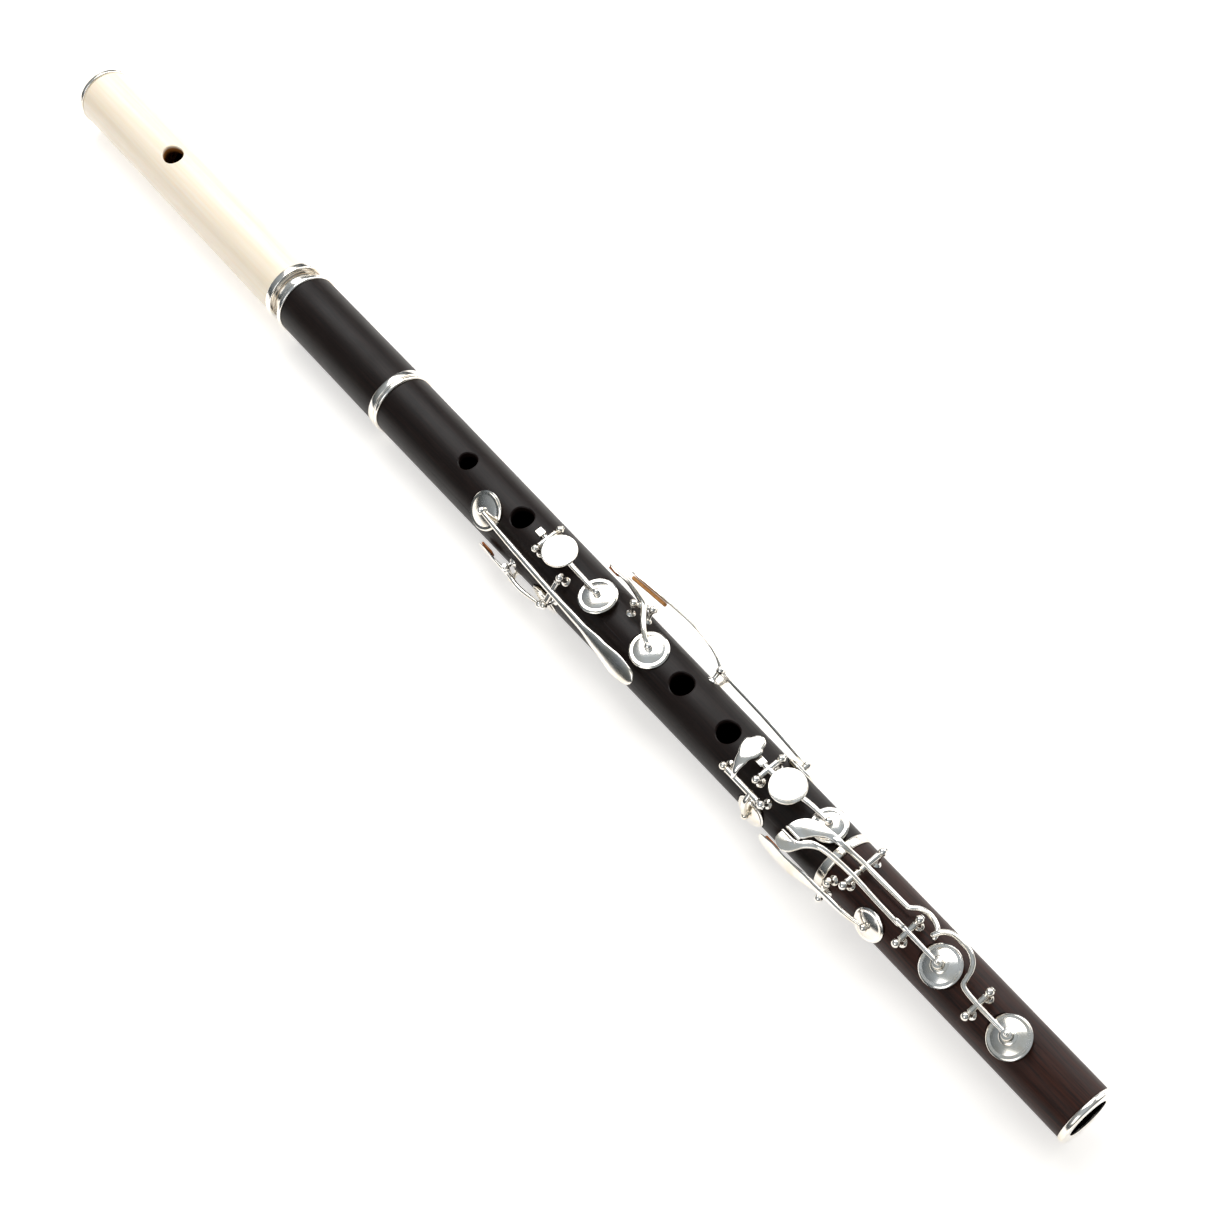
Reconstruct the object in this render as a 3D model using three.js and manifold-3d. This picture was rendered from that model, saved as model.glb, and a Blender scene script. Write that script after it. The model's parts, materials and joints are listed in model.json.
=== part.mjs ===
// A keyed wooden concert flute of the nineteenth century: an ivory head joint on a tuning slide, a dark
// wooden barrel, body and foot, silver rings, and ten silver keys on ball-headed pillars.
// Millimetres. In the flute's own frame +X runs along the bore from the crown to the foot, +Z is up
// through the finger holes and -Y is the player's side. Angles go round the bore from +Z towards +Y.
import * as THREE from "three";
import { mergeVertices } from "three/addons/utils/BufferGeometryUtils.js";
import Module from "manifold-3d";

const wasm = await Module();
wasm.setup();

// ---- Lengths along the bore ----
const crownHeight = 4.4; // the dome that stands above the cap ring
const crownSeat = 2.2; // where the cap ring starts; lengths are counted from half way up the dome
const capRingLength = 2.2;
const headLength = 174.3; // crown to the lower end of the head joint
const slideGap = 6; // bright slide left showing between head and barrel
const barrelLength = 78.5;
const bodyLength = 281.5; // between the shoulders, without tenons
const footLength = 126.5;
const slideOverlap = 44; // slide tube inside the head joint
const slideSeat = 30; // slide tube inside the barrel
const upperTenonLength = 20;
const lowerTenonLength = 19;
const corkBand = 12; // lapping round each tenon

// ---- Radii ----
const headRadius = 14;
const headEndRadius = 14.4;
const barrelRadius = 14.5;
const bodyTopRadius = 14.2;
const bodyEndRadius = 12.5;
const footTopRadius = 12.4;
const footEndRadius = 12;
const headBore = 9.5;
const slideRadius = 12.3;
const slideWall = 0.7;
const sleeveWall = 0.4;
const bodyBoreTop = 8.8;
const bodyBoreEnd = 6.6;
const footBoreEnd = 5.6;
const upperTenonRadius = 10.3;
const lowerTenonRadius = 8.4;
const corkThickness = 0.6;

// ---- Rings ----
const ringProud = 0.7;
const ringDepth = 1; // how far a ring is let into its tube
const socketRingLength = 3.6;
const barrelTopRingLength = 2.3;
const barrelSocketRingLength = 5.6;
const footSocketRingLength = 4;
const footRingLength = 2.4;
const footRingLip = 8.4; // radius of the opening in the foot's end ring

// ---- Holes ----
const mouthHoleRadius = 5.7;
const mouthHoleAcross = 0.86; // breadth of the mouth hole as a share of its length
const mouthHoleFromCrown = 73.4;
const fingerHoles = [
  { at: 18.3, radius: 4.1 },
  { at: 31.7, radius: 5 },
  { at: 68.1, radius: 5 },
  { at: 77.9, radius: 4.8 },
];
const padHoleShare = 0.52; // tone hole under a pad, as a share of the cup's radius
const seatDepth = 1.1;
const seatClearance = 0.4;

// ---- Keywork ----
const padBelowRim = 0.6;
const padThickness = 1.7;
const padClearance = 0.2;
const cupWall = 0.6;
const cupHeight = 2.2;
const bossRadius = 1.5;
const ballRadius = 1.65;
const postRadius = 0.9;
const postFlange = 1.9;
const postFlangeHeight = 0.7;
const shankDepth = 2.1;
const shankClearance = 0.1;
const pinRadius = 0.65;
const pinClearance = 0.08;
const hingeRadius = 1.35;
const hingeEndGap = 0.25;
const plateThickness = 1.2;
const rodHeight = 3.9; // centre of a lever above the pad seat that it closes

// ---- Fits ----
const fit = 0.1; // gap kept between two pieces that touch
const tenonFit = 0.12;

// ---- Where each joint starts ----
const barrelTop = headLength + slideGap;
const bodyTop = barrelTop + barrelLength + fit;
const footTop = bodyTop + bodyLength + fit;
const footEnd = footTop + footLength;

const roundSides = 24;
const smallSides = 12;
const postSides = 6;
const rodSides = 6;

// ---- Finishes ----
const finish = (name, color, roughness, metalness) =>
  new THREE.MeshStandardMaterial({ name, color, roughness, metalness });
const ivory = finish("ivory", 0xf3e7cd, 0.35, 0);
const wood = finish("blackwood", 0x1c1412, 0.4, 0);
const silver = finish("silver", 0xd9d8d3, 0.18, 1);
const steel = finish("steel", 0xb9babb, 0.3, 1);
const cork = finish("cork", 0xc07a48, 0.85, 0);
const kid = finish("kid_leather", 0xd8c7a0, 0.75, 0);

// ---- Making solids ----
const radians = THREE.MathUtils.degToRad;

// A closed geometry as a solid, with its faces turned outwards.
function solid(geometry) {
  const bare = geometry.index ? geometry.toNonIndexed() : geometry.clone();
  bare.deleteAttribute("normal");
  bare.deleteAttribute("uv");
  const merged = mergeVertices(bare, 1e-4);
  const source = merged.index.array;
  const corners = [];
  for (let i = 0; i < source.length; i += 3) {
    const [a, b, c] = [source[i], source[i + 1], source[i + 2]];
    if (a !== b && b !== c && c !== a) corners.push(a, b, c);
  }
  const at = (i) => new THREE.Vector3().fromBufferAttribute(merged.attributes.position, i);
  let volume = 0;
  for (let i = 0; i < corners.length; i += 3) {
    volume += at(corners[i]).dot(at(corners[i + 1]).cross(at(corners[i + 2])));
  }
  if (volume < 0) corners.reverse();
  const mesh = new wasm.Mesh({
    numProp: 3,
    vertProperties: new Float32Array(merged.attributes.position.array),
    triVerts: new Uint32Array(corners),
  });
  return new wasm.Manifold(mesh);
}

const join = (...solids) => solids.reduce((whole, piece) => whole.add(piece));
const cut = (whole, ...tools) => tools.reduce((left, tool) => left.subtract(tool), whole);

// A solid turned on the lathe round the bore, from [x, radius] corners.
function turned(profile) {
  const points = profile.map(([x, radius]) => new THREE.Vector2(radius, x));
  points.push(points[0].clone());
  const geometry = new THREE.LatheGeometry(points, roundSides, Math.PI / roundSides);
  return solid(geometry.rotateZ(-Math.PI / 2));
}

// A solid turned on an upright axis, from [radius, z] corners, then placed.
function turnedUp(profile, sides, place) {
  const points = profile.map(([radius, z]) => new THREE.Vector2(radius, z));
  points.push(points[0].clone());
  const geometry = new THREE.LatheGeometry(points, sides, Math.PI / sides);
  return solid(geometry.rotateX(Math.PI / 2).applyMatrix4(place));
}

const drum = (radius, low, high) => [
  [0, low],
  [radius, low],
  [radius, high],
  [0, high],
];

// A place on the flute: angle round the bore, distance along it, sideways offset and height above its axis.
function place(angle, x = 0, side = 0, height = 0) {
  return new THREE.Matrix4()
    .makeRotationX(-radians(angle))
    .multiply(new THREE.Matrix4().makeTranslation(x, side, height));
}

const pointAt = (angle, x, side, height) =>
  new THREE.Vector3(x, side, height).applyMatrix4(place(angle));

// A round bar through a list of points.
function rod(points, radius) {
  const section = new THREE.Shape();
  for (let i = 0; i < rodSides; i++) {
    const turn = ((i + 0.5) * 2 * Math.PI) / rodSides;
    const corner = [radius * Math.cos(turn), radius * Math.sin(turn)];
    if (i) section.lineTo(...corner);
    else section.moveTo(...corner);
  }
  const extrudePath = new THREE.CatmullRomCurve3(points, false, "centripetal");
  const steps = 2 * (points.length - 1);
  return solid(new THREE.ExtrudeGeometry(section, { steps, extrudePath, bevelEnabled: false }));
}

const outlineShape = (corners) =>
  new THREE.Shape(corners.map(([x, y]) => new THREE.Vector2(x, y)));

// A flat plate with the given plan outline, between two heights, placed.
function plate(outline, low, high, where) {
  const geometry = new THREE.ExtrudeGeometry(outlineShape(outline), {
    depth: high - low,
    bevelEnabled: false,
  });
  return solid(geometry.translate(0, 0, low).applyMatrix4(where));
}

// A strip with the given side outline of [x, z] corners, as wide as given and centred on y, placed.
function strip(outline, width, where) {
  const geometry = new THREE.ExtrudeGeometry(outlineShape(outline), {
    depth: width,
    bevelEnabled: false,
  });
  return solid(
    geometry
      .rotateX(Math.PI / 2)
      .translate(0, width / 2, 0)
      .applyMatrix4(where),
  );
}

// An oval plan outline that may be wider at one end, from x low to x high, as a closed loop.
function leafOutline(low, high, centre, halfWidth, tailHalfWidth, corners = 14) {
  const outline = [];
  for (let i = 0; i < corners; i++) {
    const turn = (i * 2 * Math.PI) / corners;
    const along = (1 - Math.cos(turn)) / 2;
    const half = tailHalfWidth + (halfWidth - tailHalfWidth) * Math.sin((along * Math.PI) / 2);
    outline.push([low + (high - low) * along, centre + half * Math.sin(turn)]);
  }
  return outline;
}

// ---- The scene ----
const flute = new THREE.Group();

function addMesh(name, body, material, pivot) {
  const { vertProperties, triVerts } = body.getMesh();
  const geometry = new THREE.BufferGeometry();
  geometry.setAttribute("position", new THREE.BufferAttribute(vertProperties, 3));
  geometry.setIndex(new THREE.BufferAttribute(triVerts, 1));
  if (pivot) geometry.applyMatrix4(pivot.matrix.clone().invert());
  geometry.computeVertexNormals();
  const mesh = new THREE.Mesh(geometry, material);
  mesh.name = name;
  (pivot ? pivot.group : flute).add(mesh);
}

// ---- Tube shapes ----
const bodyRadius = (x) =>
  THREE.MathUtils.mapLinear(x, bodyTop, bodyTop + bodyLength, bodyTopRadius, bodyEndRadius);
const footRadius = (x) => THREE.MathUtils.mapLinear(x, footTop, footEnd, footTopRadius, footEndRadius);
const onBody = (percent) => bodyTop + (bodyLength * percent) / 100;
const onFoot = (percent) => footTop + (footLength * percent) / 100;
const body = { radius: bodyRadius, at: onBody };
const foot = { radius: footRadius, at: onFoot };

// What is cut out of a tube for the keys that stand on it.
const bodyCuts = [];
const footCuts = [];
body.cuts = bodyCuts;
foot.cuts = footCuts;

// ---- Pivots ----
// Two ball-headed pillars screwed into the wood, with the steel pin that joins their heads.
// Each ball is given by its angle, its place along the bore and its height above the bore's axis.
function makePivot(name, tube, balls) {
  const centres = balls.map(({ angle, x, height }) => pointAt(angle, x, 0, height));
  const posts = balls.map(({ angle, x, height }) => {
    const surface = tube.radius(x) + fit;
    const where = place(angle, x);
    tube.cuts.push(
      turnedUp(
        drum(postRadius + shankClearance, surface - shankDepth - 2 * fit, surface + fit),
        postSides,
        where,
      ),
    );
    return turnedUp(
      [
        [0, surface - shankDepth],
        [postRadius, surface - shankDepth],
        [postRadius, surface],
        [postFlange, surface],
        [postFlange * 0.8, surface + postFlangeHeight],
        [postRadius, surface + postFlangeHeight * 1.4],
        [postRadius, height - ballRadius * 0.8],
        [ballRadius, height - ballRadius * 0.25],
        [ballRadius * 0.8, height + ballRadius * 0.6],
        [0, height + ballRadius],
      ],
      postSides,
      where,
    );
  });
  const [first, last] = centres;
  const middle = first.clone().add(last).multiplyScalar(0.5);
  const along = last.clone().sub(first).normalize();
  const up = new THREE.Vector3(0, middle.y, middle.z).projectOnPlane(along).normalize();
  const across = along.clone().cross(up);
  const matrix = new THREE.Matrix4().makeBasis(across, along, up).setPosition(middle);
  const span = first.distanceTo(last);
  const sideways = new THREE.Matrix4().makeRotationX(-Math.PI / 2);
  const pinPlace = matrix.clone().multiply(sideways);
  const group = new THREE.Group();
  group.applyMatrix4(matrix);
  flute.add(group);
  const pivot = { group, matrix, span, pinPlace };
  const pin = turnedUp(drum(pinRadius, -span / 2, span / 2), postSides, pinPlace);
  addMesh(name, join(...posts, pin), steel, pivot);
  return pivot;
}

// The pillars of a key whose pin lies across the flute, sideways of the angle it is given.
function crossPivot(name, tube, { angle, x, halfSpan, rise, side = 0 }) {
  const height = tube.radius(x) + rise;
  const balls = [side - halfSpan, side + halfSpan].map((offset) => ({
    angle: angle + THREE.MathUtils.radToDeg(Math.atan2(offset, height)),
    x,
    height: Math.hypot(offset, height),
  }));
  return makePivot(name, tube, balls);
}

// The tube by which a lever turns on its pin, and the bore through it.
function hinge(pivot) {
  const half = pivot.span / 2 - ballRadius - hingeEndGap;
  return turnedUp(drum(hingeRadius, -half, half), postSides, pivot.pinPlace);
}
const hingeBore = (pivot) =>
  turnedUp(
    drum(pinRadius + pinClearance, -pivot.span / 2, pivot.span / 2),
    postSides,
    pivot.pinPlace,
  );

// The turn about a pivot's own pin, in degrees; a positive turn lowers what lies on its +X side.
function turnAbout(pivot, angle) {
  return pivot.matrix
    .clone()
    .multiply(new THREE.Matrix4().makeRotationY(radians(angle)))
    .multiply(pivot.matrix.clone().invert());
}

// ---- Cups and pads ----
// A cup with its stuffed pad, and the flat seat and tone hole under it. `lifted` holds it off its seat.
function makeCup(name, tube, pivot, { angle, x, side = 0, radius, opened = 0 }) {
  const seat = tube.radius(x) - seatDepth;
  const seated = place(angle, x, side, seat);
  const lifted = turnAbout(pivot, opened).multiply(seated);
  tube.cuts.push(turnedUp(drum(radius + seatClearance, 0, 3 * seatDepth), smallSides, seated));
  tube.cuts.push(turnedUp(drum(radius * padHoleShare, -seat, seatDepth), smallSides, seated));
  const rim = fit + padBelowRim;
  const ceiling = 2 * fit + padThickness;
  const top = rim + cupHeight;
  const shell = turnedUp(
    [
      [0, ceiling],
      [radius - cupWall, ceiling],
      [radius - cupWall, rim],
      [radius, rim],
      [radius, rim + cupHeight * 0.35],
      [radius * 0.8, rim + cupHeight * 0.72],
      [radius * 0.45, rim + cupHeight * 0.95],
      [0, top],
    ],
    smallSides,
    lifted,
  );
  const boss = turnedUp(
    [
      [0, top - cupHeight / 3],
      [bossRadius, top - cupHeight / 3],
      [bossRadius, rodHeight],
      [bossRadius * 0.6, rodHeight + bossRadius * 0.8],
      [0, rodHeight + bossRadius],
    ],
    postSides,
    lifted,
  );
  const padRadius = radius - cupWall - padClearance;
  const pad = turnedUp(drum(padRadius, fit, fit + padThickness), smallSides, lifted);
  addMesh(name + "_pad", pad, kid, pivot);
  const arm = new THREE.Vector3(0, 0, rodHeight).applyMatrix4(lifted);
  return { shape: join(shell, boss), arm };
}

function addLever(name, pivot, ...pieces) {
  const lever = cut(join(...pieces, hinge(pivot)), hingeBore(pivot));
  addMesh(name, lever, silver, pivot);
}

// ---- Head joint ----
const headTop = crownSeat + capRingLength;
const crownPlug = 7;
const socketTop = headLength - slideOverlap - slideGap; // leaves room for the head to be pushed home
const sleeveRadius = slideRadius + fit + sleeveWall;

// A ring shape let into a tube of the given radius, rounded outside.
function ringProfile(from, to, tubeRadius, innerRadius) {
  const bead = (to - from) * 0.25;
  const outer = tubeRadius + ringProud;
  return [
    [from, innerRadius],
    [from, outer - bead],
    [from + bead, outer],
    [to - bead, outer],
    [to, outer - bead],
    [to, innerRadius],
  ];
}

function makeHead() {
  const seatEnd = headLength - socketRingLength;
  const stock = turned([
    [headTop - capRingLength, headBore],
    [headTop - capRingLength, headRadius - ringDepth],
    [headTop + fit, headRadius - ringDepth],
    [headTop + fit, headRadius],
    [seatEnd - fit, headEndRadius],
    [seatEnd - fit, headEndRadius - ringDepth],
    [headLength - fit, headEndRadius - ringDepth],
    [headLength - fit, sleeveRadius + fit],
    [socketTop, sleeveRadius + fit],
    [socketTop, headBore],
  ]);
  const mouth = turnedUp(
    drum(mouthHoleRadius, 0, 2 * headRadius),
    roundSides,
    place(0, mouthHoleFromCrown).scale(new THREE.Vector3(1, mouthHoleAcross, 1)),
  );
  addMesh("head_tube", cut(stock, mouth), ivory);
  const capRing = ringProfile(crownSeat + fit, headTop, headRadius, headRadius - ringDepth + fit);
  addMesh("cap_ring", turned(capRing), silver);
  const socketRing = ringProfile(seatEnd, headLength, headEndRadius, headEndRadius - ringDepth + fit);
  addMesh("head_socket_ring", turned(socketRing), silver);
  const sleeve = turned([
    [socketTop + fit, slideRadius + fit],
    [socketTop + fit, sleeveRadius],
    [headLength - 2 * fit, sleeveRadius],
    [headLength - 2 * fit, slideRadius + fit],
  ]);
  addMesh("head_slide_sleeve", sleeve, silver);
}

// The crown closes the end of the head; its screw carries the cork that stops the bore.
const stopperScrewRadius = 2;
const stopperLength = 16;
const stopperFromMouth = 18;
function makeStopper() {
  const stopperFace = mouthHoleFromCrown - stopperFromMouth;
  const screwEnd = stopperFace - fit * 10;
  const crown = turned([
    [crownSeat - crownHeight, 0],
    [crownSeat - crownHeight * 0.93, headRadius * 0.4],
    [crownSeat - crownHeight * 0.68, headRadius * 0.74],
    [crownSeat - crownHeight * 0.3, headRadius * 0.95],
    [crownSeat, headRadius],
    [crownSeat, headBore - fit],
    [crownSeat + crownPlug, headBore - fit],
    [crownSeat + crownPlug, stopperScrewRadius],
    [screwEnd, stopperScrewRadius],
    [screwEnd, 0],
  ]);
  addMesh("head_crown", crown, ivory);
  const stopper = turned([
    [stopperFace - stopperLength, stopperScrewRadius + fit],
    [stopperFace - stopperLength, headBore - fit],
    [stopperFace, headBore - fit],
    [stopperFace, 0],
    [screwEnd + fit * 5, 0],
    [screwEnd + fit * 5, stopperScrewRadius + fit],
  ]);
  addMesh("stopper_cork", stopper, cork);
}

// ---- Barrel ----
const slideBottom = barrelTop + slideSeat;
const upperSocket = upperTenonRadius + corkThickness + tenonFit;
const upperTenonTop = bodyTop - upperTenonLength;
function makeBarrel() {
  const barrelEnd = barrelTop + barrelLength;
  const ringStart = barrelEnd - barrelSocketRingLength;
  const topRingEnd = barrelTop + barrelTopRingLength;
  const stock = turned([
    [barrelTop + fit, slideRadius + fit],
    [barrelTop + fit, barrelRadius - ringDepth],
    [topRingEnd + fit, barrelRadius - ringDepth],
    [topRingEnd + fit, barrelRadius],
    [ringStart - fit, barrelRadius],
    [ringStart - fit, barrelRadius - ringDepth],
    [barrelEnd, barrelRadius - ringDepth],
    [barrelEnd, upperSocket],
    [upperTenonTop - tenonFit, upperSocket],
    [upperTenonTop - tenonFit, bodyBoreTop],
    [slideBottom + fit, bodyBoreTop],
    [slideBottom + fit, slideRadius + fit],
  ]);
  addMesh("barrel_tube", stock, wood);
  const innerRadius = barrelRadius - ringDepth + fit;
  addMesh("barrel_top_ring", turned(ringProfile(barrelTop, topRingEnd, barrelRadius, innerRadius)), silver);
  const socketRing = turned([
    [ringStart, innerRadius],
    [ringStart, barrelRadius + ringProud * 0.5],
    [ringStart + 0.6, barrelRadius + ringProud],
    [barrelEnd - 2.4, barrelRadius + ringProud],
    [barrelEnd - 2, barrelRadius + ringProud * 0.4],
    [barrelEnd - 1.5, barrelRadius + ringProud],
    [barrelEnd - 0.5, barrelRadius + ringProud],
    [barrelEnd, barrelRadius + ringProud * 0.4],
    [barrelEnd, innerRadius],
  ]);
  addMesh("barrel_socket_ring", socketRing, silver);
  const slide = turned([
    [headLength - slideOverlap, slideRadius - slideWall],
    [headLength - slideOverlap, slideRadius],
    [slideBottom, slideRadius],
    [slideBottom, slideRadius - slideWall],
  ]);
  addMesh("tuning_slide", slide, silver);
}

// ---- Body ----
const lowerSocket = lowerTenonRadius + corkThickness + tenonFit;
const lowerTenonEnd = footTop + lowerTenonLength;
function corkBandProfile(middle, tenonRadius) {
  return [
    [middle - corkBand / 2, tenonRadius - corkThickness + fit],
    [middle - corkBand / 2, tenonRadius + corkThickness],
    [middle + corkBand / 2, tenonRadius + corkThickness],
    [middle + corkBand / 2, tenonRadius - corkThickness + fit],
  ];
}
function grooveProfile(middle, tenonRadius) {
  return [
    [middle - corkBand / 2 - fit, tenonRadius - corkThickness],
    [middle - corkBand / 2 - fit, tenonRadius + 3 * corkThickness],
    [middle + corkBand / 2 + fit, tenonRadius + 3 * corkThickness],
    [middle + corkBand / 2 + fit, tenonRadius - corkThickness],
  ];
}
function makeBody() {
  const bodyEnd = bodyTop + bodyLength;
  const stock = turned([
    [upperTenonTop, bodyBoreTop],
    [upperTenonTop, upperTenonRadius],
    [bodyTop, upperTenonRadius],
    [bodyTop, bodyTopRadius],
    [bodyEnd, bodyEndRadius],
    [bodyEnd, lowerTenonRadius],
    [lowerTenonEnd, lowerTenonRadius],
    [lowerTenonEnd, bodyBoreEnd],
  ]);
  const upperMiddle = bodyTop - upperTenonLength / 2;
  const lowerMiddle = footTop + lowerTenonLength / 2;
  addMesh("upper_tenon_cork", turned(corkBandProfile(upperMiddle, upperTenonRadius)), cork);
  addMesh("lower_tenon_cork", turned(corkBandProfile(lowerMiddle, lowerTenonRadius)), cork);
  const holes = fingerHoles.map(({ at, radius }) =>
    turnedUp(drum(radius, 0, 2 * bodyTopRadius), smallSides, place(0, onBody(at))),
  );
  const grooves = [
    turned(grooveProfile(upperMiddle, upperTenonRadius)),
    turned(grooveProfile(lowerMiddle, lowerTenonRadius)),
  ];
  addMesh("body_tube", cut(stock, ...holes, ...grooves, ...bodyCuts), wood);
}

// ---- Foot ----
function makeFoot() {
  const ringEnd = footTop + footSocketRingLength;
  const endRingStart = footEnd - footRingLength;
  const woodEnd = footEnd - 0.8;
  const stock = turned([
    [footTop, lowerSocket],
    [footTop, footTopRadius - ringDepth],
    [ringEnd + fit, footTopRadius - ringDepth],
    [ringEnd + fit, footRadius(ringEnd)],
    [endRingStart - fit, footRadius(endRingStart)],
    [endRingStart - fit, footEndRadius - ringDepth],
    [woodEnd, footEndRadius - ringDepth],
    [woodEnd, footBoreEnd],
    [lowerTenonEnd + tenonFit, bodyBoreEnd],
    [lowerTenonEnd + tenonFit, lowerSocket],
  ]);
  addMesh("foot_tube", cut(stock, ...footCuts), wood);
  const socketRing = ringProfile(footTop, ringEnd, footTopRadius, footTopRadius - ringDepth + fit);
  addMesh("foot_socket_ring", turned(socketRing), silver);
  const outer = footEndRadius + ringProud;
  const endRing = turned([
    [endRingStart, footEndRadius - ringDepth + fit],
    [endRingStart, outer - 0.4],
    [endRingStart + 0.4, outer],
    [footEnd - 0.5, outer],
    [footEnd, outer - 0.5],
    [footEnd, footRingLip],
    [woodEnd + fit, footRingLip],
    [woodEnd + fit, footEndRadius - ringDepth + fit],
  ]);
  addMesh("foot_end_ring", endRing, silver);
}

// ---- Keys on the body ----
// First finger of the right hand: a long closed key on the player's side.
function makeLongCNaturalKey() {
  const angle = -44;
  const pivot = crossPivot("c_natural_pivot", body, {
    angle,
    x: onBody(44.4),
    halfSpan: 7.1,
    rise: 4.6,
  });
  const cup = makeCup("c_natural", body, pivot, { angle, x: onBody(26.5), side: 1.4, radius: 8.4 });
  const axle = bodyRadius(onBody(44.4)) + 4.6;
  const touchTop = bodyRadius(onBody(63)) + 6.1;
  const bar = rod(
    [
      cup.arm,
      pointAt(angle, onBody(35), 0.8, axle - 0.3),
      pointAt(angle, onBody(44.4), 0.2, axle + 0.5),
      pointAt(angle, onBody(53), -0.9, touchTop - 1),
      pointAt(angle, onBody(60), -1.4, touchTop - 1),
    ],
    1.3,
  );
  const touch = plate(
    leafOutline(onBody(50.5), onBody(63.3), -1.4, 4.7, 0.9),
    touchTop - plateThickness * 1.3,
    touchTop,
    place(angle),
  );
  addLever("c_natural_lever", pivot, cup.shape, bar, touch);
}

// Left thumb: a short closed key low on the player's side.
function makeThumbKey() {
  const angle = -95;
  const pivot = crossPivot("b_flat_thumb_pivot", body, {
    angle,
    x: onBody(34.7),
    halfSpan: 5.1,
    rise: 3.2,
  });
  const cup = makeCup("b_flat_thumb", body, pivot, { angle, x: onBody(42), radius: 7.4 });
  const plateLow = bodyRadius(onBody(29.5)) + 3.1;
  const bar = rod(
    [
      cup.arm,
      pointAt(angle, onBody(38), 0, bodyRadius(onBody(38)) + 4.2),
      pointAt(angle, onBody(34.7), 0, bodyRadius(onBody(34.7)) + 3.7),
      pointAt(angle, onBody(31.4), 0, plateLow + plateThickness / 2),
    ],
    1.1,
  );
  const outline = leafOutline(onBody(27.7), onBody(32.5), 0, 4.3, 2);
  const touch = plate(outline, plateLow, plateLow + plateThickness, place(angle));
  addLever("b_flat_thumb_lever", pivot, cup.shape, bar, touch);
  const bumper = strip(
    [
      [onBody(28.1), plateLow - 1.1],
      [onBody(30.5), plateLow - 1.1],
      [onBody(30.5), plateLow - fit],
      [onBody(28.1), plateLow - fit],
    ],
    4.4,
    place(angle),
  );
  addMesh("b_flat_thumb_bumper", bumper, cork, pivot);
}

// A finger key that stands open: a flat disc touch between its pin and its cup, with a tail for its spring.
function makeDiscKey(name, { x, disc, cup, tail, side, radius, discRadius, opened }) {
  const angle = 0;
  const rise = 4.6;
  const pivot = crossPivot(name + "_pivot", body, { angle, x, halfSpan: 6.3, rise });
  const cupPiece = makeCup(name, body, pivot, { angle, x: cup, side, radius, opened: -opened });
  const axle = bodyRadius(x) + rise;
  const bar = rod(
    [
      pointAt(angle, tail, 0, axle - 0.4),
      pointAt(angle, x, 0, axle + 0.2),
      pointAt(angle, disc, side * 0.2, axle + 0.2),
      pointAt(angle, (disc + cup) / 2, side * 0.8, (axle + cupPiece.arm.z) / 2 + 0.1),
      cupPiece.arm,
    ],
    1,
  );
  const touch = turnedUp(
    drum(discRadius, 0, plateThickness),
    smallSides,
    place(angle, disc, side * 0.2, axle + 0.7),
  );
  addLever(name + "_lever", pivot, cupPiece.shape, bar, touch);
}

// Fourth finger of the left hand: a closed key whose cup is on top and whose touch is on the far side.
function makeGSharpKey() {
  const pivot = makePivot("g_sharp_pivot", body, [
    { angle: 22, x: onBody(54.7), height: bodyRadius(onBody(55)) + 6 },
    { angle: 37, x: onBody(56.9), height: bodyRadius(onBody(56)) + 6 },
  ]);
  const cup = makeCup("g_sharp", body, pivot, { angle: -1, x: onBody(61.1), radius: 8.1 });
  const touchAngle = 53;
  const plateLow = bodyRadius(onBody(47.8)) + 3.6;
  const rise = (percent, height) => bodyRadius(onBody(percent)) + height;
  const bar = rod(
    [
      cup.arm,
      pointAt(3, onBody(60), 0, rise(60, 4.2)),
      pointAt(14, onBody(58), 0, rise(58, 5.4)),
      pointAt(29.5, onBody(55.8), 0, rise(55.8, 6.2)),
      pointAt(38, onBody(53.6), 0, rise(53.6, 5.6)),
      pointAt(47, onBody(51), 0, rise(51, 4.9)),
      pointAt(touchAngle, onBody(49.3), 0, plateLow + plateThickness / 2),
    ],
    1.15,
  );
  const outline = leafOutline(onBody(46), onBody(49.8), 0, 3.4, 1.6);
  const touch = plate(outline, plateLow, plateLow + plateThickness, place(touchAngle));
  addLever("g_sharp_lever", pivot, cup.shape, bar, touch);
  const bumper = strip(
    [
      [onBody(46.4), plateLow - 1.1],
      [onBody(48.4), plateLow - 1.1],
      [onBody(48.4), plateLow - fit],
      [onBody(46.4), plateLow - fit],
    ],
    2.8,
    place(touchAngle),
  );
  addMesh("g_sharp_bumper", bumper, cork, pivot);
}

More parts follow.
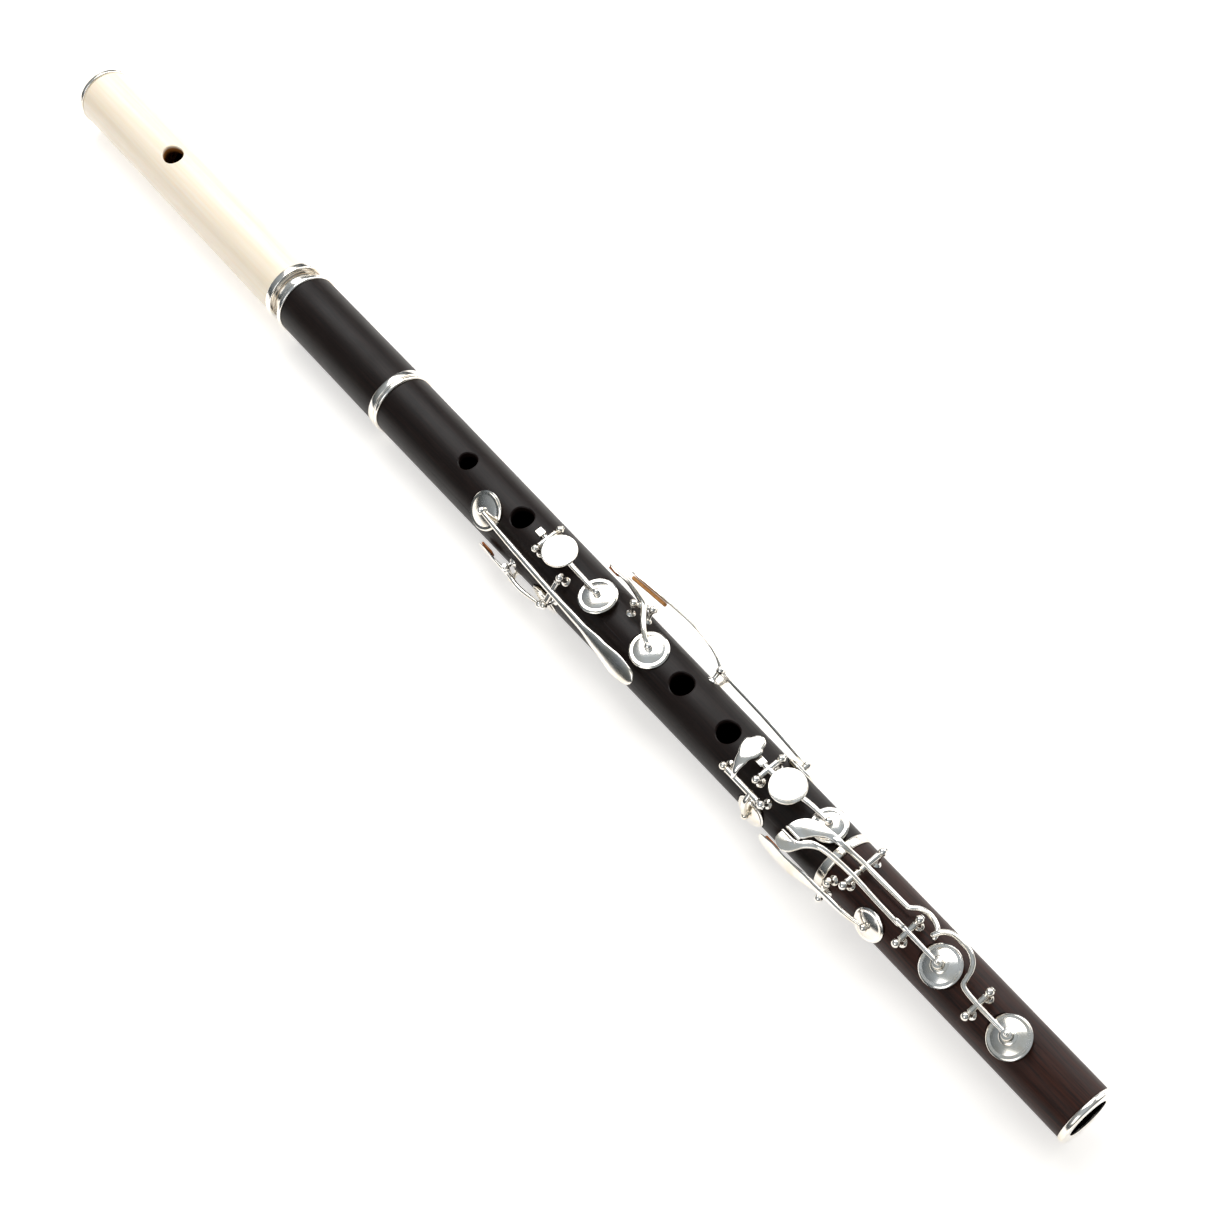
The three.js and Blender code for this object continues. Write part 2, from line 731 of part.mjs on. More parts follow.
// Fourth finger of the left hand: a long closed key down the far side, with a bowed blade for its touch.
function makeLongFKey() {
  const angle = 75;
  const pivot = crossPivot("long_f_pivot", body, {
    angle,
    x: onBody(69.7),
    halfSpan: 5.6,
    rise: 4.4,
  });
  const cup = makeCup("long_f", body, pivot, { angle, x: onBody(87.6), radius: 6.6 });
  const above = (percent, height) => [onBody(percent), bodyRadius(onBody(percent)) + height];
  const outer = [
    above(48.2, 7.1),
    above(55, 8.8),
    above(60.8, 9.8),
    above(64.3, 9.3),
    above(67, 7.9),
    above(69, 5.6),
  ];
  const inner = outer.map(([x, z]) => [x - 0.25, z - plateThickness]).reverse();
  const blade = strip([...outer, ...inner], 7, place(angle));
  const bladePlan = plate(
    [
      [onBody(47.8), -1.6],
      [onBody(49.6), -3.2],
      [onBody(64), -3.2],
      [onBody(70), -1.6],
      [onBody(70), 1.6],
      [onBody(64), 3.4],
      [onBody(49.6), 3.4],
      [onBody(47.8), 1.6],
    ],
    bodyTopRadius,
    2 * bodyTopRadius,
    place(angle),
  );
  const bar = rod(
    [
      pointAt(angle, onBody(68.7), 0, bodyRadius(onBody(69)) + 5.2),
      pointAt(angle, onBody(70.5), 0, bodyRadius(onBody(70)) + 4.6),
      pointAt(angle, onBody(79), 0, bodyRadius(onBody(79)) + 4.2),
      cup.arm,
    ],
    1.1,
  );
  addLever("long_f_lever", pivot, cup.shape, bar, blade.intersect(bladePlan));
  const corkTop = outer.slice(0, 2).map(([x, z]) => [x, z - plateThickness - 2 * fit]);
  const corkLow = corkTop.map(([x, z]) => [x, z - 1.6]).reverse();
  addMesh("long_f_bumper", strip([...corkTop, ...corkLow], 3, place(angle)), cork, pivot);
}

// Third finger of the right hand: a short closed key on a pin that lies along the flute.
function makeShortFKey() {
  const angle = -37.5;
  const height = bodyRadius(onBody(85)) + 5;
  const pivot = makePivot("short_f_pivot", body, [
    { angle, x: onBody(81.5), height },
    { angle, x: onBody(89.1), height },
  ]);
  const cupX = onBody(87.4);
  const cup = makeCup("short_f", body, pivot, { angle: -79, x: cupX, radius: 6.9 });
  const arm = rod(
    [
      pointAt(angle, cupX - 1, 0, height),
      pointAt(-50, cupX - 0.8, 0, height + 0.9),
      pointAt(-66, cupX - 0.4, 0, height - 0.9),
      cup.arm,
    ],
    1.2,
  );
  const neckX = onBody(83.7);
  const neck = rod(
    [
      pointAt(angle, neckX, 0, height),
      pointAt(-27, neckX - 0.2, 0, height + 2.1),
      pointAt(-12, neckX - 0.8, 0, height + 2.2),
      pointAt(0, neckX - 1.6, 0, height + 1.7),
    ],
    1.1,
  );
  const spoonX = onBody(82.8);
  const outline = [];
  const corners = 14;
  for (let i = 0; i < corners; i++) {
    const turn = (i * 2 * Math.PI) / corners;
    const pinch = 1 - 0.28 * (1 - Math.sin(turn));
    outline.push([spoonX + 4.7 * Math.cos(turn) * pinch, 1.2 + 6.4 * Math.sin(turn)]);
  }
  const top = height + 2.3;
  const spoon = plate(outline, top - plateThickness, top, place(0));
  addLever("short_f_lever", pivot, cup.shape, arm, neck, spoon);
}

// ---- Keys on the foot ----
const touchAngle = -10; // the two low touches lean towards the player
const touchHeight = footTopRadius + 9;
const contactGap = 0.3;

// The two touch levers share one pin; each lifts the tail of the lever that carries its cup.
function makeFootTouches() {
  const axleX = onFoot(10.7);
  const pivot = crossPivot("foot_touch_pivot", foot, {
    angle: -1,
    x: axleX,
    halfSpan: 9.6,
    rise: 4.2,
  });
  const axle = footRadius(axleX) + 4.2;
  const low = touchHeight - plateThickness;
  const half = pivot.span / 2 - ballRadius - hingeEndGap;
  const between = -1.3;
  const sharpHinge = turnedUp(
    drum(hingeRadius, -half, between - contactGap),
    postSides,
    pivot.pinPlace,
  );
  const naturalHinge = turnedUp(
    drum(hingeRadius, between + contactGap, half),
    postSides,
    pivot.pinPlace,
  );

  const sharpPlate = plate(
    [
      [onFoot(-12.6), -8.4],
      [onFoot(-12.9), -12],
      [onFoot(-11.4), -14.1],
      [onFoot(-9.2), -14.7],
      [onFoot(-7), -13.6],
      [onFoot(-5.8), -11],
      [onFoot(-4.8), -8.2],
      [onFoot(-2.6), -5.5],
      [onFoot(-0.6), -4.4],
      [onFoot(-0.6), -2.4],
      [onFoot(-3), -2.9],
      [onFoot(-5.6), -4.9],
      [onFoot(-7), -8.4],
    ],
    low,
    touchHeight,
    place(touchAngle),
  );
  const sharpTail = onFoot(29.2);
  const sharpBar = rod(
    [
      pointAt(touchAngle, onFoot(-2), -3.7, low + 0.4),
      pointAt(touchAngle, onFoot(3), -2.4, axle + 2.6),
      pointAt(-1, axleX, -4.4, axle + 0.4),
      pointAt(-1, onFoot(20), -4.5, axle - 0.5),
      pointAt(-1, sharpTail, -4.5, axle - 0.9),
    ],
    0.95,
  );
  const sharpLever = cut(join(sharpHinge, sharpPlate, sharpBar), hingeBore(pivot));
  addMesh("low_c_sharp_touch", sharpLever, silver, pivot);

  const naturalPlate = plate(
    [
      [onFoot(-12.8), -7.2],
      [onFoot(-12.3), -3.2],
      [onFoot(-10.8), -0.2],
      [onFoot(-8.6), 2],
      [onFoot(-5.2), 3.4],
      [onFoot(0), 4.2],
      [onFoot(3), 4.2],
      [onFoot(3), 1.9],
      [onFoot(-1.4), 1.2],
      [onFoot(-3.6), -0.8],
      [onFoot(-5.2), -2.8],
      [onFoot(-7.3), -7.2],
    ],
    low,
    touchHeight,
    place(touchAngle),
  );
  const naturalBar = rod(
    [
      pointAt(touchAngle, onFoot(1), 3, low + 0.5),
      pointAt(-1, onFoot(6), 0.8, axle + 1.8),
      pointAt(-1, axleX, 1.5, axle + 0.5),
      pointAt(-1, onFoot(20), 1.9, axle - 0.3),
      pointAt(-1, onFoot(26.4), 2.2, axle - 0.7),
      pointAt(-1, onFoot(28), 2.7, axle - 0.8),
      pointAt(-1, onFoot(30), 5.1, axle - 0.9),
      pointAt(-1, onFoot(33), 6.2, axle - 0.9),
      pointAt(-1, onFoot(36), 5.6, axle - 0.9),
      pointAt(-1, onFoot(38), 4, axle - 0.9),
      pointAt(-1, onFoot(38.9), 1.6, axle - 0.9),
    ],
    0.95,
  );
  const naturalLever = cut(join(naturalHinge, naturalPlate, naturalBar), hingeBore(pivot));
  addMesh("low_c_touch", naturalLever, silver, pivot);
}

// A cup lever of the foot: its tail lies on the end of a touch lever, its cup stands open.
function makeFootCup(name, { x, cupX, radius, opened, tail }) {
  const angle = -15;
  const rise = 4.6;
  const pivot = crossPivot(name + "_pivot", foot, { angle, x, halfSpan: 5.9, rise });
  const cup = makeCup(name, foot, pivot, { angle, x: cupX, radius, opened: -opened });
  const axle = footRadius(x) + rise;
  const tailPoints = tail.map(([along, side, height]) => pointAt(angle, along, side, axle + height));
  const bar = rod([...tailPoints, pointAt(angle, x, 0, axle + 0.4), cup.arm], 1);
  addLever(name + "_lever", pivot, cup.shape, bar);
}

// Fourth finger of the right hand: a closed key low on the player's side of the foot.
function makeEFlatKey() {
  const angle = -60;
  const x = onFoot(5.9);
  const pivot = crossPivot("e_flat_pivot", foot, { angle, x, halfSpan: 4.5, rise: 3.9, side: -0.8 });
  const cup = makeCup("e_flat", foot, pivot, { angle, x: onFoot(21.9), radius: 6.8 });
  const plateAngle = -77;
  const plateLow = bodyEndRadius + 4.3;
  const bar = rod(
    [
      cup.arm,
      pointAt(angle, onFoot(14), -0.6, footRadius(x) + 4.3),
      pointAt(angle, x, -1.4, footRadius(x) + 4.4),
      pointAt(angle - 9, onFoot(-2), 0, plateLow + 0.8),
      pointAt(plateAngle, onFoot(-8), 0, plateLow + 0.5),
    ],
    1.15,
  );
  const outline = leafOutline(onFoot(-20.4), onFoot(-1.5), 0, 4.2, 2.6);
  const touch = plate(outline, plateLow, plateLow + plateThickness, place(plateAngle));
  addLever("e_flat_lever", pivot, cup.shape, bar, touch);
  const bumper = strip(
    [
      [onFoot(-18.6), plateLow - 1.2],
      [onFoot(-12.5), plateLow - 1.2],
      [onFoot(-12.5), plateLow - fit],
      [onFoot(-18.6), plateLow - fit],
    ],
    4,
    place(plateAngle),
  );
  addMesh("e_flat_bumper", bumper, cork, pivot);
}

makeHead();
makeStopper();
makeBarrel();
makeLongCNaturalKey();
makeThumbKey();
makeDiscKey("left_third", {
  x: onBody(38.2),
  disc: onBody(41.2),
  cup: onBody(49.9),
  tail: onBody(36.3),
  side: -0.7,
  radius: 8.1,
  discRadius: 7.5,
  opened: 4.3,
});
makeGSharpKey();
makeLongFKey();
makeShortFKey();
makeDiscKey("right_third", {
  x: onBody(86.4),
  disc: onBody(90.1),
  cup: onBody(97.2),
  tail: onBody(84.6),
  side: 2.6,
  radius: 7.2,
  discRadius: 7.4,
  opened: 3.8,
});
makeFootTouches();
makeFootCup("low_c_sharp", {
  x: onFoot(32.8),
  cupX: onFoot(45.2),
  radius: 8.2,
  opened: 9.5,
  tail: [
    [onFoot(28.6), 0, 1.7],
    [onFoot(30.6), 0, 1.2],
  ],
});
makeFootCup("low_c", {
  x: onFoot(60.5),
  cupX: onFoot(71.9),
  radius: 8.3,
  opened: 9.5,
  tail: [
    [onFoot(38.5), 5.7, 0.5],
    [onFoot(39.7), 8.6, 0.7],
    [onFoot(42), 10.7, 0.9],
    [onFoot(45.2), 11.3, 1],
    [onFoot(48.6), 11],
    [onFoot(51.3), 9.3, 0.8],
    [onFoot(52.9), 6.6, 0.7],
    [onFoot(53.6), 3.6, 0.6],
    [onFoot(54.6), 0.8, 0.5],
  ].map(([along, side, height = 0.9]) => [along, side, height]),
});
makeEFlatKey();
makeBody();
makeFoot();

// The flute lies on the plane z = 0, centred over the origin.
flute.updateMatrixWorld(true);
const extent = new THREE.Box3().setFromObject(flute, true);
flute.position.set(-(extent.min.x + extent.max.x) / 2, -(extent.min.y + extent.max.y) / 2, -extent.min.z);

export default flute;
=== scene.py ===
import json
import math

import bmesh
import bpy
from mathutils import Matrix, Vector


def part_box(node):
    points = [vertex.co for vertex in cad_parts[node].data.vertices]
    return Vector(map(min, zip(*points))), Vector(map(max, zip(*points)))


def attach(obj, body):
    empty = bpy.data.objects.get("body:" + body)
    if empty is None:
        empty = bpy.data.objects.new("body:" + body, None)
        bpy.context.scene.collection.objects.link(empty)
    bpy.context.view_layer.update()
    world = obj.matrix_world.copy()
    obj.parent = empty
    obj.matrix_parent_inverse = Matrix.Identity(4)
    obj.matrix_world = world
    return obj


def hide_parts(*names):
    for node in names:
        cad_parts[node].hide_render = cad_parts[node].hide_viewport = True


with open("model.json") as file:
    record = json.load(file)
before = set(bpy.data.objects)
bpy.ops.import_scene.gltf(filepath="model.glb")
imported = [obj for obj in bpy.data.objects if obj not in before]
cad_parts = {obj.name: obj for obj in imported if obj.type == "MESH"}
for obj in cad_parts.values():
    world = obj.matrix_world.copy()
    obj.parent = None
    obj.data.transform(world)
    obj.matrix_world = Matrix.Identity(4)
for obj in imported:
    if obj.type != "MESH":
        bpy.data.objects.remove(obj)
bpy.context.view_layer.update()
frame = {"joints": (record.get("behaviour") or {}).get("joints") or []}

# ---- The camera and the room ----
# The flute lies on a white table under soft studio lamps: one large box over the far side of the head,
# a lower one along the far side, and a weak one behind the player's shoulder.
MM = 0.001
ring_low, ring_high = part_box("barrel_top_ring")
bore_y = (ring_low.y + ring_high.y) / 2
bore_z = (ring_low.z + ring_high.z) / 2
crown_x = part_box("head_crown")[0].x + 2.2 * MM

scene = bpy.context.scene
scene.view_settings.view_transform = "Standard"


def linear(code):
    """The colour of an sRGB hex code, as the shader wants it."""
    parts = [int(code[i : i + 2], 16) / 255 for i in (1, 3, 5)]
    turned = [p / 12.92 if p <= 0.04045 else ((p + 0.055) / 1.055) ** 2.4 for p in parts]
    return (*turned, 1.0)


def add_node(tree, kind, values=None, links=None, **settings):
    """A new node in the tree, with its settings, its values by socket and its links by socket."""
    node = tree.nodes.new(kind)
    for name, value in settings.items():
        setattr(node, name, value)
    for socket, value in (values or {}).items():
        node.inputs[socket].default_value = value
    for socket, source in (links or {}).items():
        tree.links.new(source, node.inputs[socket])
    return node


lens = bpy.data.cameras.new("camera")
lens.sensor_width = 36
lens.lens = 59.35
lens.clip_start = 0.01
lens.clip_end = 20
camera = bpy.data.objects.new("camera", lens)
scene.collection.objects.link(camera)
scene.camera = camera
look = Vector((-0.45621, 0.21687, -0.86304))
across = Vector((0.61734, 0.77564, -0.13143))
stand = Matrix((across, across.cross(look), look * -1)).transposed().to_4x4()
stand.translation = Vector((crown_x + 765.15 * MM, bore_y - 171.81 * MM, bore_z + 695.24 * MM))
camera.matrix_world = stand

floor_sheet = bmesh.new()
bmesh.ops.create_grid(floor_sheet, x_segments=1, y_segments=1, size=4)
bmesh.ops.translate(floor_sheet, verts=floor_sheet.verts, vec=(0, 0, -0.0003))
floor_mesh = bpy.data.meshes.new("floor")
floor_sheet.to_mesh(floor_mesh)
floor_sheet.free()
floor = bpy.data.objects.new("floor", floor_mesh)
scene.collection.objects.link(floor)

table_paper = bpy.data.materials.new("white_table_paper")
table_paper.use_nodes = True
tree = table_paper.node_tree
tree.nodes.clear()
seen = add_node(tree, "ShaderNodeLightPath")
either = add_node(
    tree,
    "ShaderNodeMath",
    operation="MAXIMUM",
    links={0: seen.outputs["Is Camera Ray"], 1: seen.outputs["Is Glossy Ray"]},
)
paper = add_node(tree, "ShaderNodeBsdfDiffuse", values={"Color": linear("#f1f0ee")})
lift = add_node(tree, "ShaderNodeEmission", values={"Color": linear("#ffffff"), "Strength": 0.45})
lit = add_node(tree, "ShaderNodeAddShader", links={0: paper.outputs[0], 1: lift.outputs[0]})
shown = add_node(
    tree,
    "ShaderNodeMixShader",
    links={0: either.outputs[0], 1: paper.outputs[0], 2: lit.outputs[0]},
)
add_node(tree, "ShaderNodeOutputMaterial", links={"Surface": shown.outputs[0]})
floor_mesh.materials.append(table_paper)

world = bpy.data.worlds.new("studio")
scene.world = world
world.use_nodes = True
tree = world.node_tree
tree.nodes.clear()
seen = add_node(tree, "ShaderNodeLightPath")
facing = add_node(
    tree,
    "ShaderNodeSeparateXYZ",
    links={0: add_node(tree, "ShaderNodeTexCoord").outputs["Generated"]},
)
dusk = add_node(tree, "ShaderNodeValToRGB", links={"Fac": facing.outputs["Z"]})
dusk.color_ramp.elements[0].position = 0.1
dusk.color_ramp.elements[0].color = linear("#33393e")
dusk.color_ramp.elements[1].position = 0.95
dusk.color_ramp.elements[1].color = linear("#b3bbc1")
walls = add_node(
    tree, "ShaderNodeBackground", values={"Strength": 0.85}, links={"Color": dusk.outputs["Color"]}
)
fill = add_node(
    tree, "ShaderNodeBackground", values={"Color": linear("#f5f1ea"), "Strength": 0.45}
)
white = add_node(tree, "ShaderNodeBackground", values={"Color": (1, 1, 1, 1), "Strength": 1.0})
room = add_node(
    tree,
    "ShaderNodeMixShader",
    links={0: seen.outputs["Is Glossy Ray"], 1: fill.outputs[0], 2: walls.outputs[0]},
)
shown = add_node(
    tree,
    "ShaderNodeMixShader",
    links={0: seen.outputs["Is Camera Ray"], 1: room.outputs[0], 2: white.outputs[0]},
)
add_node(tree, "ShaderNodeOutputWorld", links={"Surface": shown.outputs[0]})


def hang_lamp(name, place, size, watts, aim=(0, 0, 0)):
    """A soft box that faces the aim."""
    lamp = bpy.data.lights.new(name, "AREA")
    lamp.shape = "SQUARE"
    lamp.size = size
    lamp.energy = watts
    holder = bpy.data.objects.new(name, lamp)
    scene.collection.objects.link(holder)
    holder.location = Vector(place)
    holder.rotation_mode = "QUATERNION"
    holder.rotation_quaternion = (Vector(aim) - Vector(place)).to_track_quat("-Z", "Y")


hang_lamp("over_head", (-0.62, 0.52, 1.15), 1.15, 15)
hang_lamp("far_side", (0.1, 1.25, 0.55), 0.9, 7.5)
hang_lamp("player_side", (0.5, -1.1, 1.1), 1.0, 5)


# ---- The ivory head ----
# One turned tube of elephant ivory with an undercut oval mouth hole, and a domed crown that closes its end.
# Ivory is polished to a soft gloss and shows faint lines along the tusk, with a little light under its skin.
def grain_material(name, light, dark, along, round_, rough, coat, bump, skin=0.0, shine=0.5, hole_shade=None):
    """A polished material whose grain runs along the bore; its last argument, if given, paints shade inside
    holes, darkening colour, specular and coat from a hole's wall down to the bore.
    """
    material = bpy.data.materials.new(name)
    material.use_nodes = True
    tree = material.node_tree
    tree.nodes.clear()
    point = add_node(tree, "ShaderNodeTexCoord").outputs["Object"]
    laid = add_node(
        tree,
        "ShaderNodeMapping",
        values={"Scale": (1 / (along * MM), 1 / (round_ * MM), 1 / (round_ * MM))},
        links={"Vector": point},
    )
    streaks = add_node(
        tree,
        "ShaderNodeTexNoise",
        values={"Scale": 1.0, "Detail": 4.0, "Roughness": 0.6},
        links={"Vector": laid.outputs[0]},
    )
    ramp = add_node(tree, "ShaderNodeValToRGB", links={"Fac": streaks.outputs["Fac"]})
    ramp.color_ramp.elements[0].position = 0.32
    ramp.color_ramp.elements[0].color = linear(dark)
    ramp.color_ramp.elements[1].position = 0.68
    ramp.color_ramp.elements[1].color = linear(light)
    tone = ramp.outputs["Color"]
    hole_shaded_polish = {}
    # Painted shade: inside a hole the colour is multiplied dark and the specular and coat fade out, from the
    # hole's wall down to the bore.
    if hole_shade:
        offset = add_node(
            tree,
            "ShaderNodeVectorMath",
            operation="SUBTRACT",
            values={1: (0, bore_y, bore_z)},
            links={0: point},
        )
        flat = add_node(
            tree,
            "ShaderNodeVectorMath",
            operation="MULTIPLY",
            values={1: (0, 1, 1)},
            links={0: offset.outputs[0]},
        )
        reach = add_node(
            tree, "ShaderNodeVectorMath", operation="LENGTH", links={0: flat.outputs[0]}
        )
        deep = add_node(
            tree,
            "ShaderNodeMapRange",
            values={"From Min": 9.6 * MM, "From Max": hole_shade[2] * MM},
            links={"Value": reach.outputs["Value"]},
        )
        hole_shade_ramp = add_node(tree, "ShaderNodeValToRGB", links={"Fac": deep.outputs[0]})
        hole_shade_ramp.color_ramp.elements[0].color = linear(hole_shade[0])
        hole_shade_ramp.color_ramp.elements[1].color = (1, 1, 1, 1)
        middle = hole_shade_ramp.color_ramp.elements.new(0.7)
        middle.color = linear(hole_shade[1])
        hole_shaded_tone = add_node(
            tree,
            "ShaderNodeMix",
            data_type="RGBA",
            blend_type="MULTIPLY",
            values={0: 1.0},
            links={6: tone, 7: hole_shade_ramp.outputs["Color"]},
        )
        tone = hole_shaded_tone.outputs[2]
        for socket, full in (("Specular IOR Level", shine), ("Coat Weight", coat)):
            faded = add_node(
                tree,
                "ShaderNodeMath",
                operation="MULTIPLY",
                values={1: full},
                links={0: deep.outputs[0]},
            )
            hole_shaded_polish[socket] = faded.outputs[0]
    broad = add_node(
        tree,
        "ShaderNodeTexNoise",
        values={"Scale": 60.0, "Detail": 2.0},
        links={"Vector": point},
    )
    gloss = add_node(
        tree,
        "ShaderNodeMapRange",
        values={"To Min": rough * 0.8, "To Max": rough * 1.25},
        links={"Value": broad.outputs["Fac"]},
    )
    pores = add_node(
        tree,
        "ShaderNodeBump",
        values={"Strength": bump, "Distance": 0.05 * MM},
        links={"Height": streaks.outputs["Fac"]},
    )
    shader = add_node(
        tree,
        "ShaderNodeBsdfPrincipled",
        values={
            "IOR": 1.52,
            "Specular IOR Level": shine,
            "Coat Weight": coat,
            "Coat Roughness": 0.12,
            "Subsurface Weight": skin,
            "Subsurface Radius": (1.0, 0.7, 0.4),
            "Subsurface Scale": 0.002,
        },
        links={
            "Base Color": tone,
            "Roughness": gloss.outputs[0],
            "Normal": pores.outputs[0],
            **hole_shaded_polish,
        },
    )
    add_node(tree, "ShaderNodeOutputMaterial", links={"Surface": shader.outputs[0]})
    return material


# The mouth hole's wall carries painted shade, darkening from cream to near black towards the bore.
ivory = grain_material(
    "polished_ivory", "#fdf3e3", "#faead2", 60, 1.6, 0.32, 0.2, 0.1, skin=0.12,
    hole_shade=("#1c100a", "#a8753f", 13.4),
)


def spot(angle, along, side, height):
    """A point by its angle round the bore, mm from the crown, mm sideways and mm out from the bore's line."""
    turn = math.radians(angle)
    return Vector((
        crown_x + along * MM,
        bore_y + (side * math.cos(turn) + height * math.sin(turn)) * MM,
        bore_z + (height * math.cos(turn) - side * math.sin(turn)) * MM,
    ))


def stand_on(angle, along, side=0.0, height=0.0):
    """The matrix that stands a shape made in mm on the bore's line, its Z outwards and its X along."""
    turn = Matrix.Rotation(-math.radians(angle), 4, "X")
    return Matrix.Translation(spot(angle, along, side, height)) @ turn @ Matrix.Scale(MM, 4)


def spun(profile, steps, matrix):
    """A closed shape turned round Z from [radius, z] corners in mm, then placed."""
    shape = bmesh.new()
    corners = [shape.verts.new((radius, 0, z)) for radius, z in profile]
    sides = list(zip(corners, corners[1:]))
    if profile[0][0] > 0 or profile[-1][0] > 0:
        sides.append((corners[-1], corners[0]))
    edges = [shape.edges.new(pair) for pair in sides]
    bmesh.ops.spin(
        shape,
        geom=corners + edges,
        cent=(0, 0, 0),
        axis=(0, 0, 1),
        dvec=(0, 0, 0),
        angle=2 * math.pi,
        steps=steps,
        use_merge=True,
    )
    bmesh.ops.remove_doubles(shape, verts=shape.verts, dist=1e-5)
    bmesh.ops.transform(shape, matrix=matrix, verts=shape.verts)
    bmesh.ops.recalc_face_normals(shape, faces=shape.faces)
    return shape


def turned_tube(profile, steps=112):
    """A tube or ring turned on the bore's own line, from [mm from the crown, radius] corners."""
    lathe = stand_on(0, 0) @ Matrix.Rotation(math.pi / 2, 4, "Y")
    return spun([(radius, along) for along, radius in profile], steps, lathe)


def weld(whole, part):
    """Adds one shape to another and lets go of it."""
    mesh = bpy.data.meshes.new("part")
    part.to_mesh(mesh)
    whole.from_mesh(mesh)
    bpy.data.meshes.remove(mesh)
    part.free()


def finish_piece(shape, name, material, body, node, sharp=40):
    """Makes the object, smooth but for its sharp edges, and ties it to its body."""
    for face in shape.faces:
        face.smooth = True
    mesh = bpy.data.meshes.new(name)
    shape.to_mesh(mesh)
    shape.free()
    mesh.set_sharp_from_angle(angle=math.radians(sharp))
    mesh.materials.append(material)
    piece = bpy.data.objects.new(name, mesh)
    scene.collection.objects.link(piece)
    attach(piece, body)
    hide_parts(node)
    return piece


def hole_tool(angle, along, radius, tube_radius, rim, squash=1.0):
    """The reamer for a hole with a small even bevel where it meets the round tube."""
    tool = bmesh.new()
    bmesh.ops.create_circle(tool, cap_ends=True, segments=56, radius=1)
    rings = [list(tool.verts)]
    edge = list(tool.edges)
    for _ in range(4):
        grown = bmesh.ops.extrude_edge_only(tool, edges=edge)["geom"]
        rings.append([g for g in grown if isinstance(g, bmesh.types.BMVert)])
        edge = [g for g in grown if isinstance(g, bmesh.types.BMEdge)]
        edge = [e for e in edge if all(v in rings[-1] for v in e.verts)]
    widths = (radius, radius, radius + rim, radius + 2.5 * rim, radius + 2.5 * rim)
    depths = (None, -rim, 0.0, 1.5 * rim, None)
    for number, (ring, width, depth) in enumerate(zip(rings, widths, depths)):
        for vert in ring:
            turn = math.atan2(vert.co.y, vert.co.x)
            x, y = width * math.cos(turn), width * squash * math.sin(turn)
            skin = math.sqrt(max(tube_radius**2 - y**2, 0))
            flat = 2.0 if number == 0 else tube_radius + 3
            vert.co = (x, y, flat if depth is None else skin + depth)
    bmesh.ops.contextual_create(tool, geom=edge)
    bmesh.ops.transform(tool, matrix=stand_on(angle, along), verts=tool.verts)
    bmesh.ops.recalc_face_normals(tool, faces=tool.faces)
    return tool


def drill(piece, tools):
    """Cuts the tools out of a finished piece and leaves plain mesh."""
    cutters = []
    for tool in tools:
        mesh = bpy.data.meshes.new("tool")
        tool.to_mesh(mesh)
        tool.free()
        cutter = bpy.data.objects.new("tool", mesh)
        scene.collection.objects.link(cutter)
        cutters.append(cutter)
        cut = piece.modifiers.new("cut", "BOOLEAN")
        cut.operation = "DIFFERENCE"
        cut.solver = "EXACT"
        cut.object = cutter
    bpy.context.view_layer.update()
    worn = piece.evaluated_get(bpy.context.evaluated_depsgraph_get())
    mesh = bpy.data.meshes.new_from_object(worn)
    piece.modifiers.clear()
    old = piece.data
    piece.data = mesh
    bpy.data.meshes.remove(old)
    mesh.name = piece.name
    mesh.set_sharp_from_angle(angle=math.radians(32))
    for cutter in cutters:
        bpy.data.objects.remove(cutter)


head = turned_tube([
    (2.2, 9.5), (2.2, 13), (4.5, 13), (4.5, 13.6), (4.7, 14.0), (10, 14.02), (90, 14.2),
    (170.4, 14.38), (170.6, 14.2), (170.6, 13.4), (174.2, 13.4), (174.2, 12.9), (124.3, 12.9),
    (124.3, 9.5),
])
head_piece = finish_piece(head, "ivory_head", ivory, "head_joint", "head_tube")
drill(head_piece, [hole_tool(0, 73.4, 5.7, 14.15, 0.35, squash=0.86)])

dome = [math.radians(turn) for turn in (0, 12, 24, 35, 45, 54, 62, 69, 75, 81, 86)]
crown = turned_tube([(2.2 - 4.4 * math.cos(turn), 14 * math.sin(turn)) for turn in dome] + [
    (2.1, 14), (2.2, 13.9), (2.2, 9.4), (9.2, 9.4), (9.2, 2.0), (54.4, 2.0), (54.4, 0),
], steps=96)
finish_piece(crown, "ivory_crown", ivory, "crown", "head_crown")


# ---- The stopper ----
# A plug of cork on the end of the crown's screw closes the bore above the mouth hole.
# Cork is dull, warm brown, with dark specks a millimetre or so across.
def cork_material(name, light, dark):
    """Dull cork with darker specks."""
    material = bpy.data.materials.new(name)
    material.use_nodes = True
    tree = material.node_tree
    tree.nodes.clear()
    point = add_node(tree, "ShaderNodeTexCoord").outputs["Object"]
    cells = add_node(
        tree,
        "ShaderNodeTexNoise",
        values={"Scale": 1 / (0.9 * MM), "Detail": 5.0, "Roughness": 0.7},
        links={"Vector": point},
    )
    ramp = add_node(tree, "ShaderNodeValToRGB", links={"Fac": cells.outputs["Fac"]})
    ramp.color_ramp.elements[0].position = 0.36
    ramp.color_ramp.elements[0].color = linear(dark)
    ramp.color_ramp.elements[1].position = 0.56
    ramp.color_ramp.elements[1].color = linear(light)
    pits = add_node(
        tree,
        "ShaderNodeBump",
        values={"Strength": 0.5, "Distance": 0.15 * MM},
        links={"Height": cells.outputs["Fac"]},
    )
    shader = add_node(
        tree,
        "ShaderNodeBsdfPrincipled",
        values={"Roughness": 0.85, "Specular IOR Level": 0.3},
        links={"Base Color": ramp.outputs["Color"], "Normal": pits.outputs[0]},
    )
    add_node(tree, "ShaderNodeOutputMaterial", links={"Surface": shader.outputs[0]})
    return material


